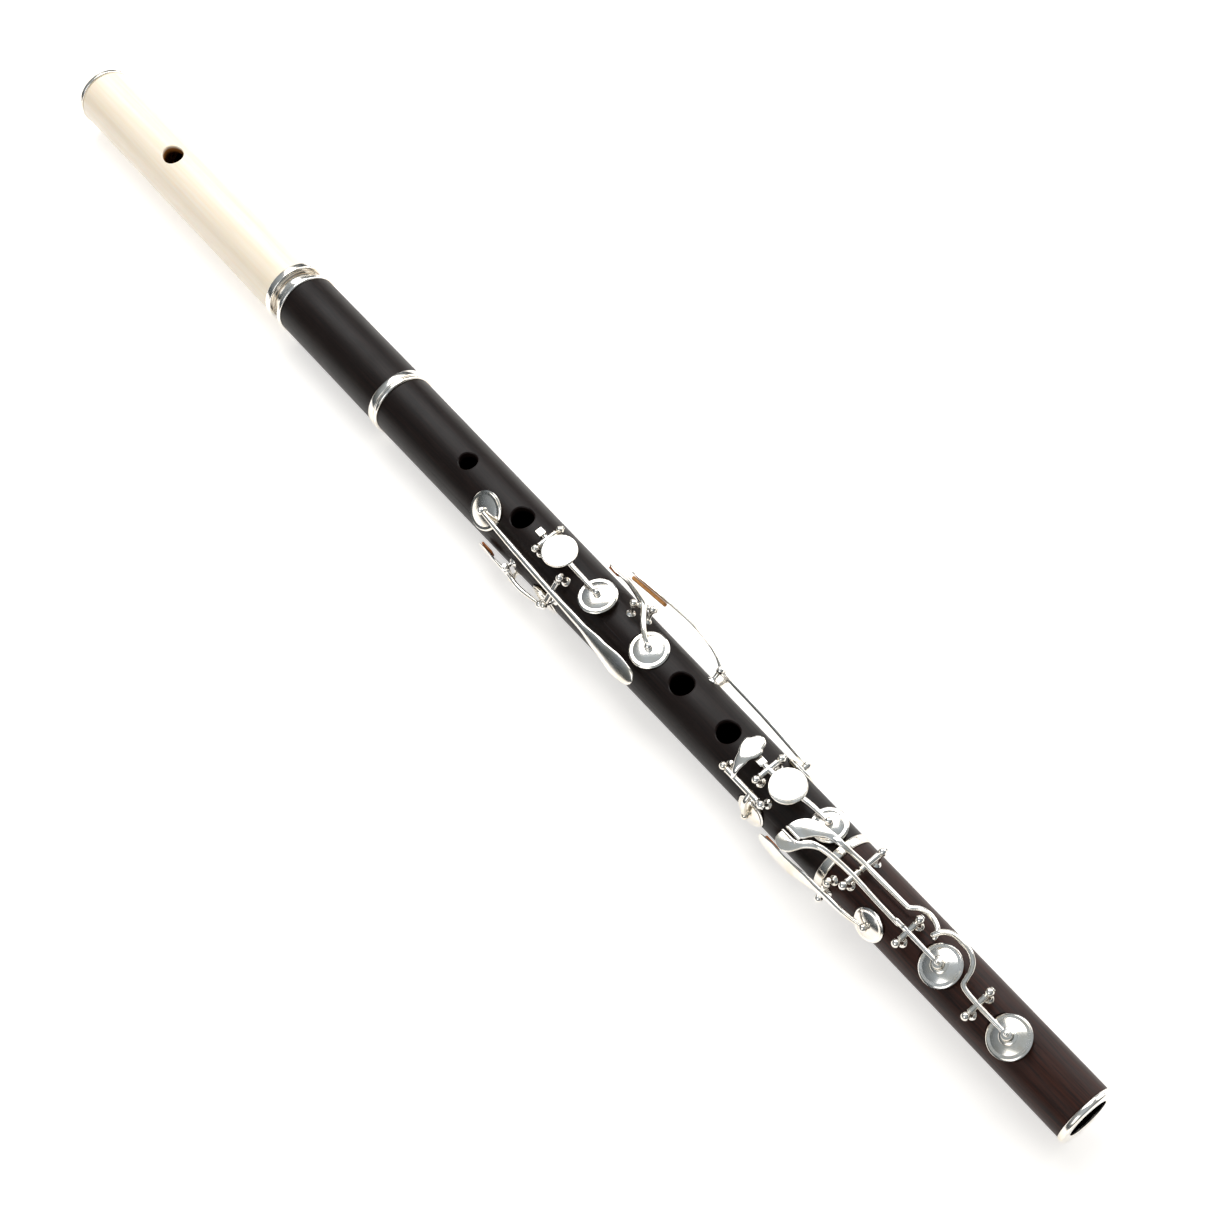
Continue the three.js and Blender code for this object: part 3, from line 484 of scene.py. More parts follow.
bark_cork = cork_material("bark_cork", "#cd8450", "#8a4a26")
stopper = turned_tube([
    (39.4, 2.1), (39.4, 9.0), (39.8, 9.4), (55, 9.4), (55.4, 9.0), (55.4, 0), (54.9, 0), (54.9, 2.1),
], steps=64)
finish_piece(stopper, "cork_stopper", bark_cork, "crown", "stopper_cork")


# ---- The silver rings and the tuning slide ----
# Rings are turned from silver tube, burnished in place, and stop the ends of the joints splitting.
# Polished silver is bright and a little warm, with very fine rubbing marks and no grain.
def silver_material(name, tone, rough, tarnish, amount):
    """Polished metal with fine wear, and a warmer tone where it has tarnished."""
    material = bpy.data.materials.new(name)
    material.use_nodes = True
    tree = material.node_tree
    tree.nodes.clear()
    point = add_node(tree, "ShaderNodeTexCoord").outputs["Object"]
    clouds = add_node(
        tree,
        "ShaderNodeTexNoise",
        values={"Scale": 1 / (7 * MM), "Detail": 3.0, "Roughness": 0.55},
        links={"Vector": point},
    )
    rubbing = add_node(
        tree,
        "ShaderNodeTexNoise",
        values={"Scale": 1 / (0.7 * MM), "Detail": 3.0},
        links={"Vector": point},
    )
    ramp = add_node(tree, "ShaderNodeValToRGB", links={"Fac": clouds.outputs["Fac"]})
    ramp.color_ramp.elements[0].position = 0.5 - amount
    ramp.color_ramp.elements[0].color = linear(tarnish)
    ramp.color_ramp.elements[1].position = 0.62
    ramp.color_ramp.elements[1].color = linear(tone)
    gloss = add_node(
        tree,
        "ShaderNodeMapRange",
        values={"To Min": rough * 0.85, "To Max": rough * 1.15},
        links={"Value": rubbing.outputs["Fac"]},
    )
    hand = add_node(
        tree,
        "ShaderNodeBump",
        values={"Strength": 0.04, "Distance": 0.05 * MM},
        links={"Height": clouds.outputs["Fac"]},
    )
    shader = add_node(
        tree,
        "ShaderNodeBsdfPrincipled",
        values={"Metallic": 1.0},
        links={
            "Base Color": ramp.outputs["Color"],
            "Roughness": gloss.outputs[0],
            "Normal": hand.outputs[0],
        },
    )
    add_node(tree, "ShaderNodeOutputMaterial", links={"Surface": shader.outputs[0]})
    return material


silver = silver_material("polished_silver", "#f8f5f0", 0.18, "#ebe3d4", 0.2)


def rolled_ring(name, start, end, tube_radius, body, node, rise=0.7):
    """A ring with rounded shoulders, let into its tube."""
    outer = tube_radius + rise
    soft = min(0.7, (end - start) * 0.3)
    inner = tube_radius - 0.9
    profile = [(start, inner)]
    for i in range(7):
        turn = math.pi / 2 * i / 6
        profile.append((start + soft * (1 - math.cos(turn)), outer - soft + soft * math.sin(turn)))
    for i in range(7):
        turn = math.pi / 2 * (1 - i / 6)
        profile.append((end - soft * (1 - math.cos(turn)), outer - soft + soft * math.sin(turn)))
    profile.append((end, inner))
    finish_piece(turned_tube(profile), name, silver, body, node, sharp=60)


rolled_ring("silver_cap_ring", 2.3, 4.4, 14.0, "head_joint", "cap_ring")
rolled_ring("silver_head_ring", 170.7, 174.3, 14.4, "head_joint", "head_socket_ring")
sleeve = turned_tube([(124.4, 12.4), (124.4, 12.8), (174.1, 12.8), (174.1, 12.4)])
finish_piece(sleeve, "silver_slide_sleeve", silver, "head_joint", "head_slide_sleeve")
slide = turned_tube([(130.3, 11.6), (130.3, 12.3), (210.3, 12.3), (210.3, 11.6)])
finish_piece(slide, "silver_tuning_slide", silver, "barrel", "tuning_slide")
rolled_ring("silver_barrel_ring", 180.3, 182.6, 14.5, "barrel", "barrel_top_ring")
socket_band = turned_tube([
    (253.2, 13.6), (253.2, 14.8), (253.35, 15.05), (253.7, 15.2), (256.2, 15.2), (256.45, 15.1),
    (256.6, 14.75), (256.9, 14.75), (257.0, 14.95), (257.3, 15.18), (257.9, 15.2), (258.4, 15.1),
    (258.7, 14.85), (258.8, 14.6), (258.8, 13.6),
])
finish_piece(
    socket_band, "silver_socket_band", silver, "barrel", "barrel_socket_ring", sharp=60
)
rolled_ring("silver_foot_ring", 540.5, 544.5, 12.4, "foot_joint", "foot_socket_ring")
end_band = turned_tube([
    (664.6, 11.1), (664.6, 12.2), (664.75, 12.5), (665.1, 12.7), (666.2, 12.7), (666.6, 12.6),
    (666.9, 12.35), (667, 12.1), (667, 8.6), (666.9, 8.4), (666.3, 8.4), (666.3, 11.1),
])
finish_piece(end_band, "silver_end_band", silver, "foot_joint", "foot_end_ring", sharp=60)


# ---- The wooden barrel, body and foot ----
# Turned from African blackwood, oiled and hand-polished: near black with a red-brown heart on the foot.
# Seats for the pads are spot-faced into the wood, and each tone hole is reamed through its seat.
# The walls of the tone holes carry painted shade, darkening to near black towards the bore.
blackwood = grain_material(
    "oiled_blackwood", "#1d120e", "#0b0605", 22, 0.9, 0.42, 0.0, 0.35, shine=0.2,
    hole_shade=("#060404", "#1a1411", 11.2),
)
red_blackwood = grain_material(
    "oiled_red_blackwood", "#3a1b10", "#140806", 22, 0.9, 0.42, 0.0, 0.35, shine=0.2,
    hole_shade=("#060404", "#1a1411", 10.6),
)


def body_radius(along):
    """Radius of the body's wood, which tapers from socket to foot."""
    return 14.2 + (12.5 - 14.2) * (along - 258.9) / 281.5


def foot_radius(along):
    """Radius of the foot's wood."""
    return 12.4 + (12.0 - 12.4) * (along - 540.5) / 126.5


def on_body(percent):
    """Mm from the crown of a place on the body, in hundredths of its length."""
    return 258.9 + 2.815 * percent


def on_foot(percent):
    """Mm from the crown of a place on the foot, in hundredths of its length."""
    return 540.5 + 1.265 * percent


barrel = turned_tube([
    (180.4, 12.4), (180.4, 13.5), (182.7, 13.5), (182.7, 14.3), (182.9, 14.5), (252.9, 14.5),
    (253.1, 14.3), (253.1, 13.5), (258.8, 13.5), (258.8, 11.02), (238.8, 11.02), (238.8, 8.8),
    (210.4, 8.8), (210.4, 12.4),
])
finish_piece(barrel, "wood_barrel", blackwood, "barrel", "barrel_tube")

pad_seats = [
    (-44, on_body(26.5), 1.4, 8.4, body_radius),
    (-95, on_body(42), 0, 7.4, body_radius),
    (0, on_body(49.9), -0.7, 8.1, body_radius),
    (-1, on_body(61.1), 0, 8.1, body_radius),
    (75, on_body(87.6), 0, 6.6, body_radius),
    (-79, on_body(87.4), 0, 6.9, body_radius),
    (0, on_body(97.2), 2.6, 7.2, body_radius),
    (-15, on_foot(45.2), 0, 8.2, foot_radius),
    (-15, on_foot(71.9), 0, 8.3, foot_radius),
    (-60, on_foot(21.9), 0, 6.8, foot_radius),
]


def seat_tools(wanted):
    """The flat cutter and the reamer for each pad's seat on one tube."""
    tools = []
    for angle, along, side, cup, radius_at in pad_seats:
        if radius_at is not wanted:
            continue
        seat = radius_at(along) - 1.1
        where = stand_on(angle, along, side, seat)
        tools.append(spun([(0, 0), (cup + 0.4, 0), (cup + 0.6, 4), (0, 4)], 56, where))
        tools.append(spun([(0, 2 - seat), (cup * 0.52, 2 - seat), (cup * 0.52, 1), (0, 1)], 48, where))
    return tools


body = turned_tube([
    (238.9, 8.8), (238.9, 10.3), (258.9, 10.3), (258.9, 14.0), (259.1, 14.2), (540.2, 12.5),
    (540.4, 12.3), (540.4, 8.4), (559.5, 8.4), (559.5, 6.6),
])
body_piece = finish_piece(body, "wood_body", blackwood, "flute_body", "body_tube")
finger_holes = [(18.3, 4.1), (31.7, 5.0), (68.1, 5.0), (77.9, 4.8)]
drill(body_piece, seat_tools(body_radius) + [
    hole_tool(0, on_body(percent), radius, body_radius(on_body(percent)), 0.42)
    for percent, radius in finger_holes
])

foot = turned_tube([
    (540.5, 9.12), (540.5, 11.4), (544.6, 11.4), (544.6, 12.2), (544.8, 12.39), (664.3, 12.0),
    (664.5, 11.8), (664.5, 11.0), (666.2, 11.0), (666.2, 5.9), (665.9, 5.6), (559.62, 6.6),
    (559.62, 9.12),
])
foot_piece = finish_piece(foot, "wood_foot", red_blackwood, "foot_joint", "foot_tube")
drill(foot_piece, seat_tools(foot_radius))

for name, node, start, end, radius in (
    ("cork_upper_lapping", "upper_tenon_cork", 242.9, 254.9, 10.9),
    ("cork_lower_lapping", "lower_tenon_cork", 544, 556, 9.0),
):
    lapping = turned_tube([
        (start, radius - 1.1), (start, radius - 0.2), (start + 0.3, radius), (end - 0.3, radius),
        (end, radius - 0.2), (end, radius - 1.1),
    ], steps=64)
    finish_piece(lapping, name, bark_cork, "flute_body", node)


# ---- Pillars and pins ----
# Each lever turns on a steel screw between two silver pillars. A pillar is turned with a flared foot, a thin
# neck and a ball head, and its threaded shank is screwed into the wood.
def rod_between(start, end, radius, steps=20):
    """A plain round rod between two points, its radius in mm."""
    run = end - start
    half = run.length / 2 / MM
    matrix = Matrix.Translation((start + end) / 2) @ run.to_track_quat("Z", "Y").to_matrix().to_4x4()
    profile = [(0, -half), (radius * 0.8, -half), (radius, 0.2 - half), (radius, half - 0.2),
               (radius * 0.8, half), (0, half)]
    return spun(profile, steps, matrix @ Matrix.Scale(MM, 4))


def ball_seat(point, radius_at):
    """Angle, mm from the crown and height of a point over the bore, and the wood's radius under it."""
    along = (point.x - crown_x) / MM
    y, z = point.y - bore_y, point.z - bore_z
    return math.degrees(math.atan2(y, z)), along, math.hypot(y, z) / MM, radius_at(along)


def pillar_pair(name, node, body, radius_at, first, last):
    """The two pillars of a pivot and the screw between them."""
    pair = bmesh.new()
    for ball in (first, last):
        angle, along, height, skin = ball_seat(ball, radius_at)
        profile = [(0, skin - 2), (0.85, skin - 2), (0.85, skin - 0.3), (1.9, skin - 0.3),
                   (2.0, skin + 0.15), (1.75, skin + 0.5), (1.2, skin + 0.75), (0.95, skin + 1.1)]
        profile += [(0.86, (skin + height) / 2 - 0.2), (0.92, height - 1.75), (1.12, height - 1.6),
                    (1.12, height - 1.4), (0.9, height - 1.3)]
        for i in range(3, 13):
            turn = math.pi * i / 12
            profile.append((1.65 * math.sin(turn), height - 1.65 * math.cos(turn)))
        profile[-1] = (0, height + 1.65)
        weld(pair, spun(profile, 28, stand_on(angle, along)))
    weld(pair, rod_between(first, last, 0.64))
    out = (last - first).normalized()
    weld(pair, rod_between(last + out * 1.2 * MM, last + out * 1.95 * MM, 0.95))
    finish_piece(pair, name, silver, body, node)


def sleeve_between(first, last, start=None, end=None, radius=1.25):
    """The lever's own tube on the screw, with a small bead at each end."""
    out = (last - first).normalized()
    start = first + out * 1.9 * MM if start is None else start
    end = last - out * 1.9 * MM if end is None else end
    tube = rod_between(start, end, radius)
    weld(tube, rod_between(start, start + out * 0.7 * MM, radius + 0.12))
    weld(tube, rod_between(end - out * 0.7 * MM, end, radius + 0.12))
    return tube


def cross_balls(angle, along, half_span, rise, radius_at, side=0.0):
    """The two ball centres of a pivot that lies across the flute."""
    height = radius_at(along) + rise
    return spot(angle, along, side - half_span, height), spot(angle, along, side + half_span, height)


# ---- Levers, cups and pads ----
# Levers are forged and filed from silver, with a cup soldered to one end and a touch to the other. A cup is
# struck as a dome and holds a pad of kid leather over felt, which closes the tone hole.
kid = grain_material("kid_leather", "#dccdab", "#c6b287", 0.8, 0.8, 0.7, 0.0, 0.6)


def joint_turn(name, degrees):
    """The turn about a key's own joint."""
    joint = next(j for j in frame["joints"] if j["name"] == name)
    centre = Matrix.Translation(Vector(joint["pos_m"]))
    return centre @ Matrix.Rotation(math.radians(degrees), 4, Vector(joint["axis"])) @ centre.inverted()


def make_cup(key, name, body, where, radius, boss=1.7, stepped=False):
    """A domed cup over its pad; where puts its seat. Returns the middle of its boss."""
    rim = 0.75
    dome = [(0, 1.9), (radius - 0.6, 1.9), (radius - 0.6, rim), (radius - 0.15, rim - 0.1),
            (radius + 0.05, rim + 0.12), (radius + 0.05, rim + 0.4), (radius - 0.2, rim + 0.6)]
    for i in range(1, 12):
        reach = (radius - 0.3) * (1 - i / 12)
        share = reach / (radius - 0.3)
        dome.append((reach, rim + 0.6 + 1.6 * (1 - share**2.2)))
    dome.append((0, rim + 2.2))
    weld(key, spun(dome, 56, where))
    top = 3.9
    if stepped:
        stem = [(0, 2.4), (3.4, 2.4), (3.4, 2.95), (3.1, 3.2), (2.3, 3.3), (2.15, 3.5), (2.15, 4.8),
                (1.9, 5.1), (0.7, 5.2)]
        ball, centre = 0.95, 5.8
    else:
        stem = [(0, 2.2), (boss * 1.55, 2.3), (boss * 1.4, 2.65), (boss * 0.8, 3)]
        ball, centre = boss, top + 0.2
    for i in range(5, 17):
        turn = math.pi * i / 16
        stem.append((ball * math.sin(turn), centre - ball * math.cos(turn)))
    stem[-1] = (0, centre + ball)
    weld(key, spun(stem, 32, where))
    pad = [(0, 0.1), (radius - 1.2, 0.1), (radius - 0.85, 0.35), (radius - 0.8, 0.9),
           (radius - 0.9, 1.8), (0, 1.8)]
    finish_piece(spun(pad, 48, where), name + "_leather_pad", kid, body, name + "_pad")
    return where @ Vector((0, 0, top))


def forged_bar(points, widths, thicknesses, square=2.0, spans=7):
    """A bar drawn through the points, its section in mm an oval, or squarer as square rises above 2."""
    path = []
    count = len(points)
    for i in range(count - 1):
        p0 = points[max(i - 1, 0)]
        p1, p2 = points[i], points[i + 1]
        p3 = points[min(i + 2, count - 1)]
        for k in range(spans + (i == count - 2)):
            t = k / spans
            curve = 0.5 * (2 * p1 + (p2 - p0) * t + (2 * p0 - 5 * p1 + 4 * p2 - p3) * t * t
                           + (3 * p1 - p0 - 3 * p2 + p3) * t**3)
            smooth = t * t * (3 - 2 * t)
            path.append((curve, widths[i] + (widths[i + 1] - widths[i]) * smooth,
                         thicknesses[i] + (thicknesses[i + 1] - thicknesses[i]) * smooth))
    stations = []
    last = len(path) - 1
    for i, (centre, width, thick) in enumerate(path):
        ahead = (path[min(i + 1, last)][0] - path[max(i - 1, 0)][0]).normalized()
        if i in (0, last):
            ways = (85, 65, 40, 0) if i == 0 else (0, 40, 65, 85)
            sign = -1 if i == 0 else 1
            for way in ways:
                small = math.cos(math.radians(way))
                plump = width if square < 5 else thick
                reach = math.sin(math.radians(way)) * plump / 2 * MM
                stations.append((centre + ahead * sign * reach, ahead, width * small,
                                 thick * max(small, 0.5)))
        else:
            stations.append((centre, ahead, width, thick))
    bar = bmesh.new()
    bmesh.ops.create_circle(bar, cap_ends=True, segments=20, radius=1)
    ring = list(bar.verts)
    turns = {v: math.atan2(v.co.y, v.co.x) for v in ring}
    order = [turns[v] for v in ring]
    edge = list(bar.edges)
    for number, (centre, ahead, width, thick) in enumerate(stations):
        if number:
            grown = bmesh.ops.extrude_edge_only(bar, edges=edge)["geom"]
            verts = [g for g in grown if isinstance(g, bmesh.types.BMVert)]
            edge = [g for g in grown if isinstance(g, bmesh.types.BMEdge)
                    and all(v in verts for v in g.verts)]
            fresh = {}
            for vert in verts:
                near = min(range(len(ring)), key=lambda j: (ring[j].co - vert.co).length_squared)
                fresh[near] = vert
            ring = [fresh[j] for j in range(len(order))]
        up = Vector((0, centre.y - bore_y, centre.z - bore_z)).normalized()
        side = ahead.cross(up).normalized()
        up = side.cross(ahead).normalized()
        for vert, turn in zip(ring, order):
            c, s = math.cos(turn), math.sin(turn)
            c = math.copysign(abs(c) ** (2 / square), c)
            s = math.copysign(abs(s) ** (2 / square), s)
            vert.co = centre + side * (c * width / 2 * MM) + up * (s * thick / 2 * MM)
    bmesh.ops.contextual_create(bar, geom=edge)
    bmesh.ops.recalc_face_normals(bar, faces=bar.faces)
    return bar


def filed_plate(outline, low, high, where, soft=0.3):
    """A flat touch filed from sheet, its top edge rounded off."""
    sheet = bmesh.new()
    corners = [sheet.verts.new((x, y, low)) for x, y in outline]
    under = sheet.faces.new(corners)
    grown = bmesh.ops.extrude_face_region(sheet, geom=[under])["geom"]
    top = [g for g in grown if isinstance(g, bmesh.types.BMVert)]
    bmesh.ops.translate(sheet, verts=top, vec=(0, 0, high - low))
    rim = [e for e in sheet.edges if all(v in top for v in e.verts)]
    bmesh.ops.bevel(sheet, geom=rim, offset=soft, offset_type="OFFSET", segments=3, profile=0.5,
                    affect="EDGES", material=-1)
    bmesh.ops.transform(sheet, matrix=where, verts=sheet.verts)
    bmesh.ops.recalc_face_normals(sheet, faces=sheet.faces)
    return sheet


def rounded_outline(points, rounds=2):
    """The outline with its corners cut off again and again, which rounds them."""
    for _ in range(rounds):
        fresh = []
        for a, b in zip(points, points[1:] + points[:1]):
            fresh.append((a[0] * 0.75 + b[0] * 0.25, a[1] * 0.75 + b[1] * 0.25))
            fresh.append((a[0] * 0.25 + b[0] * 0.75, a[1] * 0.25 + b[1] * 0.75))
        points = fresh
    return points


# ---- The long C natural key ----
# A straight forged bar runs from the cup, over its pillars, to a long drop-shaped touch that is worn bright.
balls = cross_balls(-44, on_body(44.4), 7.1, 4.6, body_radius)
pillar_pair("c_natural_pillars", "c_natural_pivot", "flute_body", body_radius, *balls)
key = bmesh.new()
axle = body_radius(on_body(44.4)) + 4.6
top = body_radius(on_body(63)) + 5.4
arm = make_cup(key, "c_natural", "c_natural_key",
               stand_on(-44, on_body(26.5), 1.4, body_radius(on_body(26.5)) - 1.1), 8.4)
weld(key, sleeve_between(*balls))
weld(key, forged_bar(
    [arm, spot(-44, on_body(35), 0.8, axle - 0.3), spot(-44, on_body(44.4), 0.2, axle + 0.5),
     spot(-44, on_body(51), -0.7, top - 0.5), spot(-44, on_body(55.5), -1.1, top - 0.1),
     spot(-44, on_body(59.5), -1.4, top), spot(-44, on_body(61.8), -1.4, top - 0.2)],
    [1.7, 2.6, 2.7, 3.6, 6.4, 9.2, 7.6], [1.4, 2.2, 2.3, 2.2, 2, 1.9, 1.6], square=2.2))
finish_piece(key, "c_natural_silver_lever", silver, "c_natural_key", "c_natural_lever")

# ---- The B flat thumb key ----
# It lies low on the player's side, its touch curved to the thumb over a strip of cork.
balls = cross_balls(-95, on_body(34.7), 5.1, 3.2, body_radius)
pillar_pair("b_flat_thumb_pillars", "b_flat_thumb_pivot", "flute_body", body_radius, *balls)
key = bmesh.new()
plate_low = body_radius(on_body(29.5)) + 3.1
arm = make_cup(key, "b_flat_thumb", "b_flat_thumb_key",
               stand_on(-95, on_body(42), 0, body_radius(on_body(42)) - 1.1), 7.4)
weld(key, sleeve_between(*balls))
weld(key, forged_bar(
    [arm, spot(-95, on_body(38), 0, body_radius(on_body(38)) + 4.4),
     spot(-95, on_body(34.7), 0, body_radius(on_body(34.7)) + 3.7),
     spot(-95, on_body(31.8), 0, plate_low + 0.7), spot(-95, on_body(30), 0, plate_low + 0.6),
     spot(-95, on_body(29), 0, plate_low + 0.6)],
    [1.7, 2.3, 2.4, 4.6, 8.1, 7], [1.4, 2, 2, 1.4, 1.2, 1.1], square=2.3))
finish_piece(key, "b_flat_thumb_silver_lever", silver, "b_flat_thumb_key", "b_flat_thumb_lever")
bumper = forged_bar(
    [spot(-95, on_body(28.3), 0, plate_low - 0.6), spot(-95, on_body(30.4), 0, plate_low - 0.6)],
    [4.8, 4.8], [1.0, 1.0], square=6)
finish_piece(bumper, "b_flat_thumb_cork", bark_cork, "b_flat_thumb_key", "b_flat_thumb_bumper")


# ---- The two open disc keys ----
# The third finger of each hand presses a flat round touch, and the same lever carries the cup beyond it. The
# tail behind the pillars is a square block with the spring's screw in it.
def disc_key(name, along, disc, cup, tail, side, radius, disc_radius, opened):
    """An open standing key with a disc touch between its pillars and its cup."""
    balls = cross_balls(0, along, 6.3, 4.6, body_radius)
    pillar_pair(name + "_pillars", name + "_pivot", "flute_body", body_radius, *balls)
    key = bmesh.new()
    axle = body_radius(along) + 4.6
    lifted = joint_turn(name + "_key_turn", -opened)
    where = lifted @ stand_on(0, cup, side, body_radius(cup) - 1.1)
    arm = make_cup(key, name, name + "_key", where, radius)
    weld(key, sleeve_between(*balls))
    arm_height = (arm.z - bore_z) / MM
    weld(key, forged_bar(
        [spot(0, tail + 2.6, 0, axle - 0.2), spot(0, along, 0, axle + 0.2),
         spot(0, disc, side * 0.2, axle + 0.1), spot(0, (disc + cup) / 2, side * 0.8,
                                                     (axle + arm_height) / 2 + 0.1), arm],
        [2.0, 2.2, 2.4, 2.1, 1.7], [1.8, 2, 1.6, 1.9, 1.4], square=2.6))
    block = [(tail - 0.9, -1.6), (tail + 2.6, -1.6), (tail + 2.6, 1.6), (tail - 0.9, 1.6)]
    weld(key, filed_plate([(x - along, y) for x, y in block], -0.9, 0.9,
                          stand_on(0, along, 0, axle - 0.2), soft=0.15))
    dish = [(0, 0), (disc_radius - 0.4, 0), (disc_radius, 0.35), (disc_radius, 0.8),
            (disc_radius - 0.15, 1.05), (disc_radius - 0.45, 1.15), (disc_radius * 0.6, 1.05), (0, 0.95)]
    weld(key, spun(dish, 72, stand_on(0, disc, side * 0.2, axle + 0.72)))
    finish_piece(key, name + "_silver_lever", silver, name + "_key", name + "_lever")


disc_key("left_third", on_body(38.2), on_body(41.2), on_body(49.9), on_body(36.3), -0.7, 8.1, 7.5, 4.3)
disc_key("right_third", on_body(86.4), on_body(90.1), on_body(97.2), on_body(84.6), 2.6, 7.2, 7.4, 3.8)

# ---- The G sharp key ----
# Its lever bends round from the cup on top to a touch on the far side, corked underneath.
first = spot(22, on_body(54.7), 0, body_radius(on_body(55)) + 6)
last = spot(37, on_body(56.9), 0, body_radius(on_body(56)) + 6)
pillar_pair("g_sharp_pillars", "g_sharp_pivot", "flute_body", body_radius, first, last)
key = bmesh.new()
plate_low = body_radius(on_body(47.8)) + 3.6
arm = make_cup(key, "g_sharp", "g_sharp_key",
               stand_on(-1, on_body(61.1), 0, body_radius(on_body(61.1)) - 1.1), 8.1)
weld(key, sleeve_between(first, last))
bends = ((3, 60, 4.2), (14, 58, 5.4), (29.5, 55.8, 6.2), (38, 53.6, 5.6), (47, 51, 4.9))
weld(key, forged_bar(
    [arm] + [spot(a, on_body(p), 0, body_radius(on_body(p)) + h) for a, p, h in bends]
    + [spot(52, on_body(49.4), 0, plate_low + 0.7), spot(53, on_body(48.1), 0, plate_low + 0.6),
       spot(53, on_body(47.1), 0, plate_low + 0.6)],
    [1.7, 2.1, 2.2, 2.4, 2.6, 3, 5, 6.6, 5.6], [1.4, 1.9, 2.2, 2.4, 2.2, 1.9, 1.4, 1.2, 1.1],
    square=2.5))
finish_piece(key, "g_sharp_silver_lever", silver, "g_sharp_key", "g_sharp_lever")
bumper = forged_bar(
    [spot(53, on_body(46.5), 0, plate_low - 0.6), spot(53, on_body(48.3), 0, plate_low - 0.6)],
    [2.8, 2.8], [1.0, 1.0], square=6)
finish_piece(bumper, "g_sharp_cork", bark_cork, "g_sharp_key", "g_sharp_bumper")

# ---- The long F key ----
# A bowed blade for the little finger stands off the far side over a strip of pale cork, and a thin straight
# bar runs from its pillars down to the cup.
pale_cork = cork_material("pale_cork", "#e3a666", "#b97a3f")
balls = cross_balls(75, on_body(69.7), 5.6, 4.4, body_radius)
pillar_pair("long_f_pillars", "long_f_pivot", "flute_body", body_radius, *balls)
key = bmesh.new()
arm = make_cup(key, "long_f", "long_f_key",
               stand_on(75, on_body(87.6), 0, body_radius(on_body(87.6)) - 1.1), 6.6)
weld(key, sleeve_between(*balls))
bow = ((49.2, 7.35), (52, 8.1), (55.5, 8.9), (60.8, 9.8), (64.3, 9.3), (67, 7.9), (69, 5.6))
blade = [spot(75, on_body(p), 0, body_radius(on_body(p)) + h - 0.6) for p, h in bow]
weld(key, forged_bar(
    blade + [spot(75, on_body(70.5), 0, body_radius(on_body(70.5)) + 4.6),
             spot(75, on_body(79), 0, body_radius(on_body(79)) + 4.2), arm],
    [5.6, 6.4, 6.8, 6.9, 6.2, 4.4, 2.7, 2.6, 2.5, 1.8],
    [1.1, 1.2, 1.2, 1.2, 1.2, 1.4, 1.9, 2.1, 2.1, 1.5], square=2.6))
finish_piece(key, "long_f_silver_lever", silver, "long_f_key", "long_f_lever")
strip = forged_bar(
    [spot(75, on_body(p), 0, body_radius(on_body(p)) + h - 2.1) for p, h in bow[:3]],
    [3, 3, 3], [1.6, 1.6, 1.6], square=6)
finish_piece(strip, "long_f_cork", pale_cork, "long_f_key", "long_f_bumper")

# ---- The short F key ----
# Its screw lies along the flute. A spoon for the third finger stands on one end of the tube and an arm bent
# down the player's side carries the cup.
height = body_radius(on_body(85)) + 5
first = spot(-37.5, on_body(81.5), 0, height)
last = spot(-37.5, on_body(89.1), 0, height)
pillar_pair("short_f_pillars", "short_f_pivot", "flute_body", body_radius, first, last)
key = bmesh.new()
cup_x = on_body(87.4)
arm = make_cup(key, "short_f", "short_f_key", stand_on(-79, cup_x, 0, body_radius(cup_x) - 1.1), 6.9)
weld(key, sleeve_between(first, last))
weld(key, forged_bar(
    [spot(-37.5, cup_x - 1, 0, height + 0.3), spot(-50, cup_x - 0.8, 0, height + 0.7),
     spot(-66, cup_x - 0.4, 0, height - 0.9), arm],
    [2.2, 2.4, 2.4, 1.8], [2, 2, 2, 1.5], square=2.4))
spoon_x = on_body(82.8)
flat = height + 1.7
weld(key, forged_bar(
    [spot(-37.5, spoon_x + 2.4, 0, height + 0.4), spot(0, spoon_x + 2, -9.4, flat - 2.2),
     spot(0, spoon_x + 0.9, -5, flat), spot(0, spoon_x + 0.2, -0.6, flat + 0.1),
     spot(0, spoon_x, 1.6, flat), spot(0, spoon_x, 3.3, flat - 0.1)],
    [1.8, 2.6, 5, 8.6, 9, 6.6], [1.8, 1.7, 1.4, 1.2, 1.1, 1.0], square=2.2))
finish_piece(key, "short_f_silver_lever", silver, "short_f_key", "short_f_lever")

# ---- The two low touches of the foot ----
# Two filed touches meet at a raised bar so the little finger can slide between them. Both turn on one screw,
# and each bar's end lifts the tail of the lever that carries its cup.
balls = cross_balls(-1, on_foot(10.7), 9.6, 4.2, foot_radius)
pillar_pair("foot_touch_pillars", "foot_touch_pivot", "foot_joint", foot_radius, *balls)
axle_x = on_foot(10.7)
axle = foot_radius(axle_x) + 4.2
touch_high = 21.4
low = touch_high - 1.2
middle = (balls[0] + balls[1]) / 2
out = (balls[1] - balls[0]).normalized()
lean = stand_on(-10, 0)
key = bmesh.new()
weld(key, sleeve_between(*balls, end=middle + out * -1.7 * MM))
outline = rounded_outline([
    (on_foot(-12.6), -8.4), (on_foot(-12.9), -12), (on_foot(-11.4), -14.1), (on_foot(-9.2), -14.7),
    (on_foot(-7), -13.6), (on_foot(-5.8), -11), (on_foot(-4.8), -8.2), (on_foot(-2.6), -5.5),
    (on_foot(-0.6), -4.4), (on_foot(-0.6), -2.4), (on_foot(-3), -2.9), (on_foot(-5.6), -4.9),
    (on_foot(-7), -8.4),
], rounds=3)
weld(key, filed_plate(outline, low, touch_high, lean))
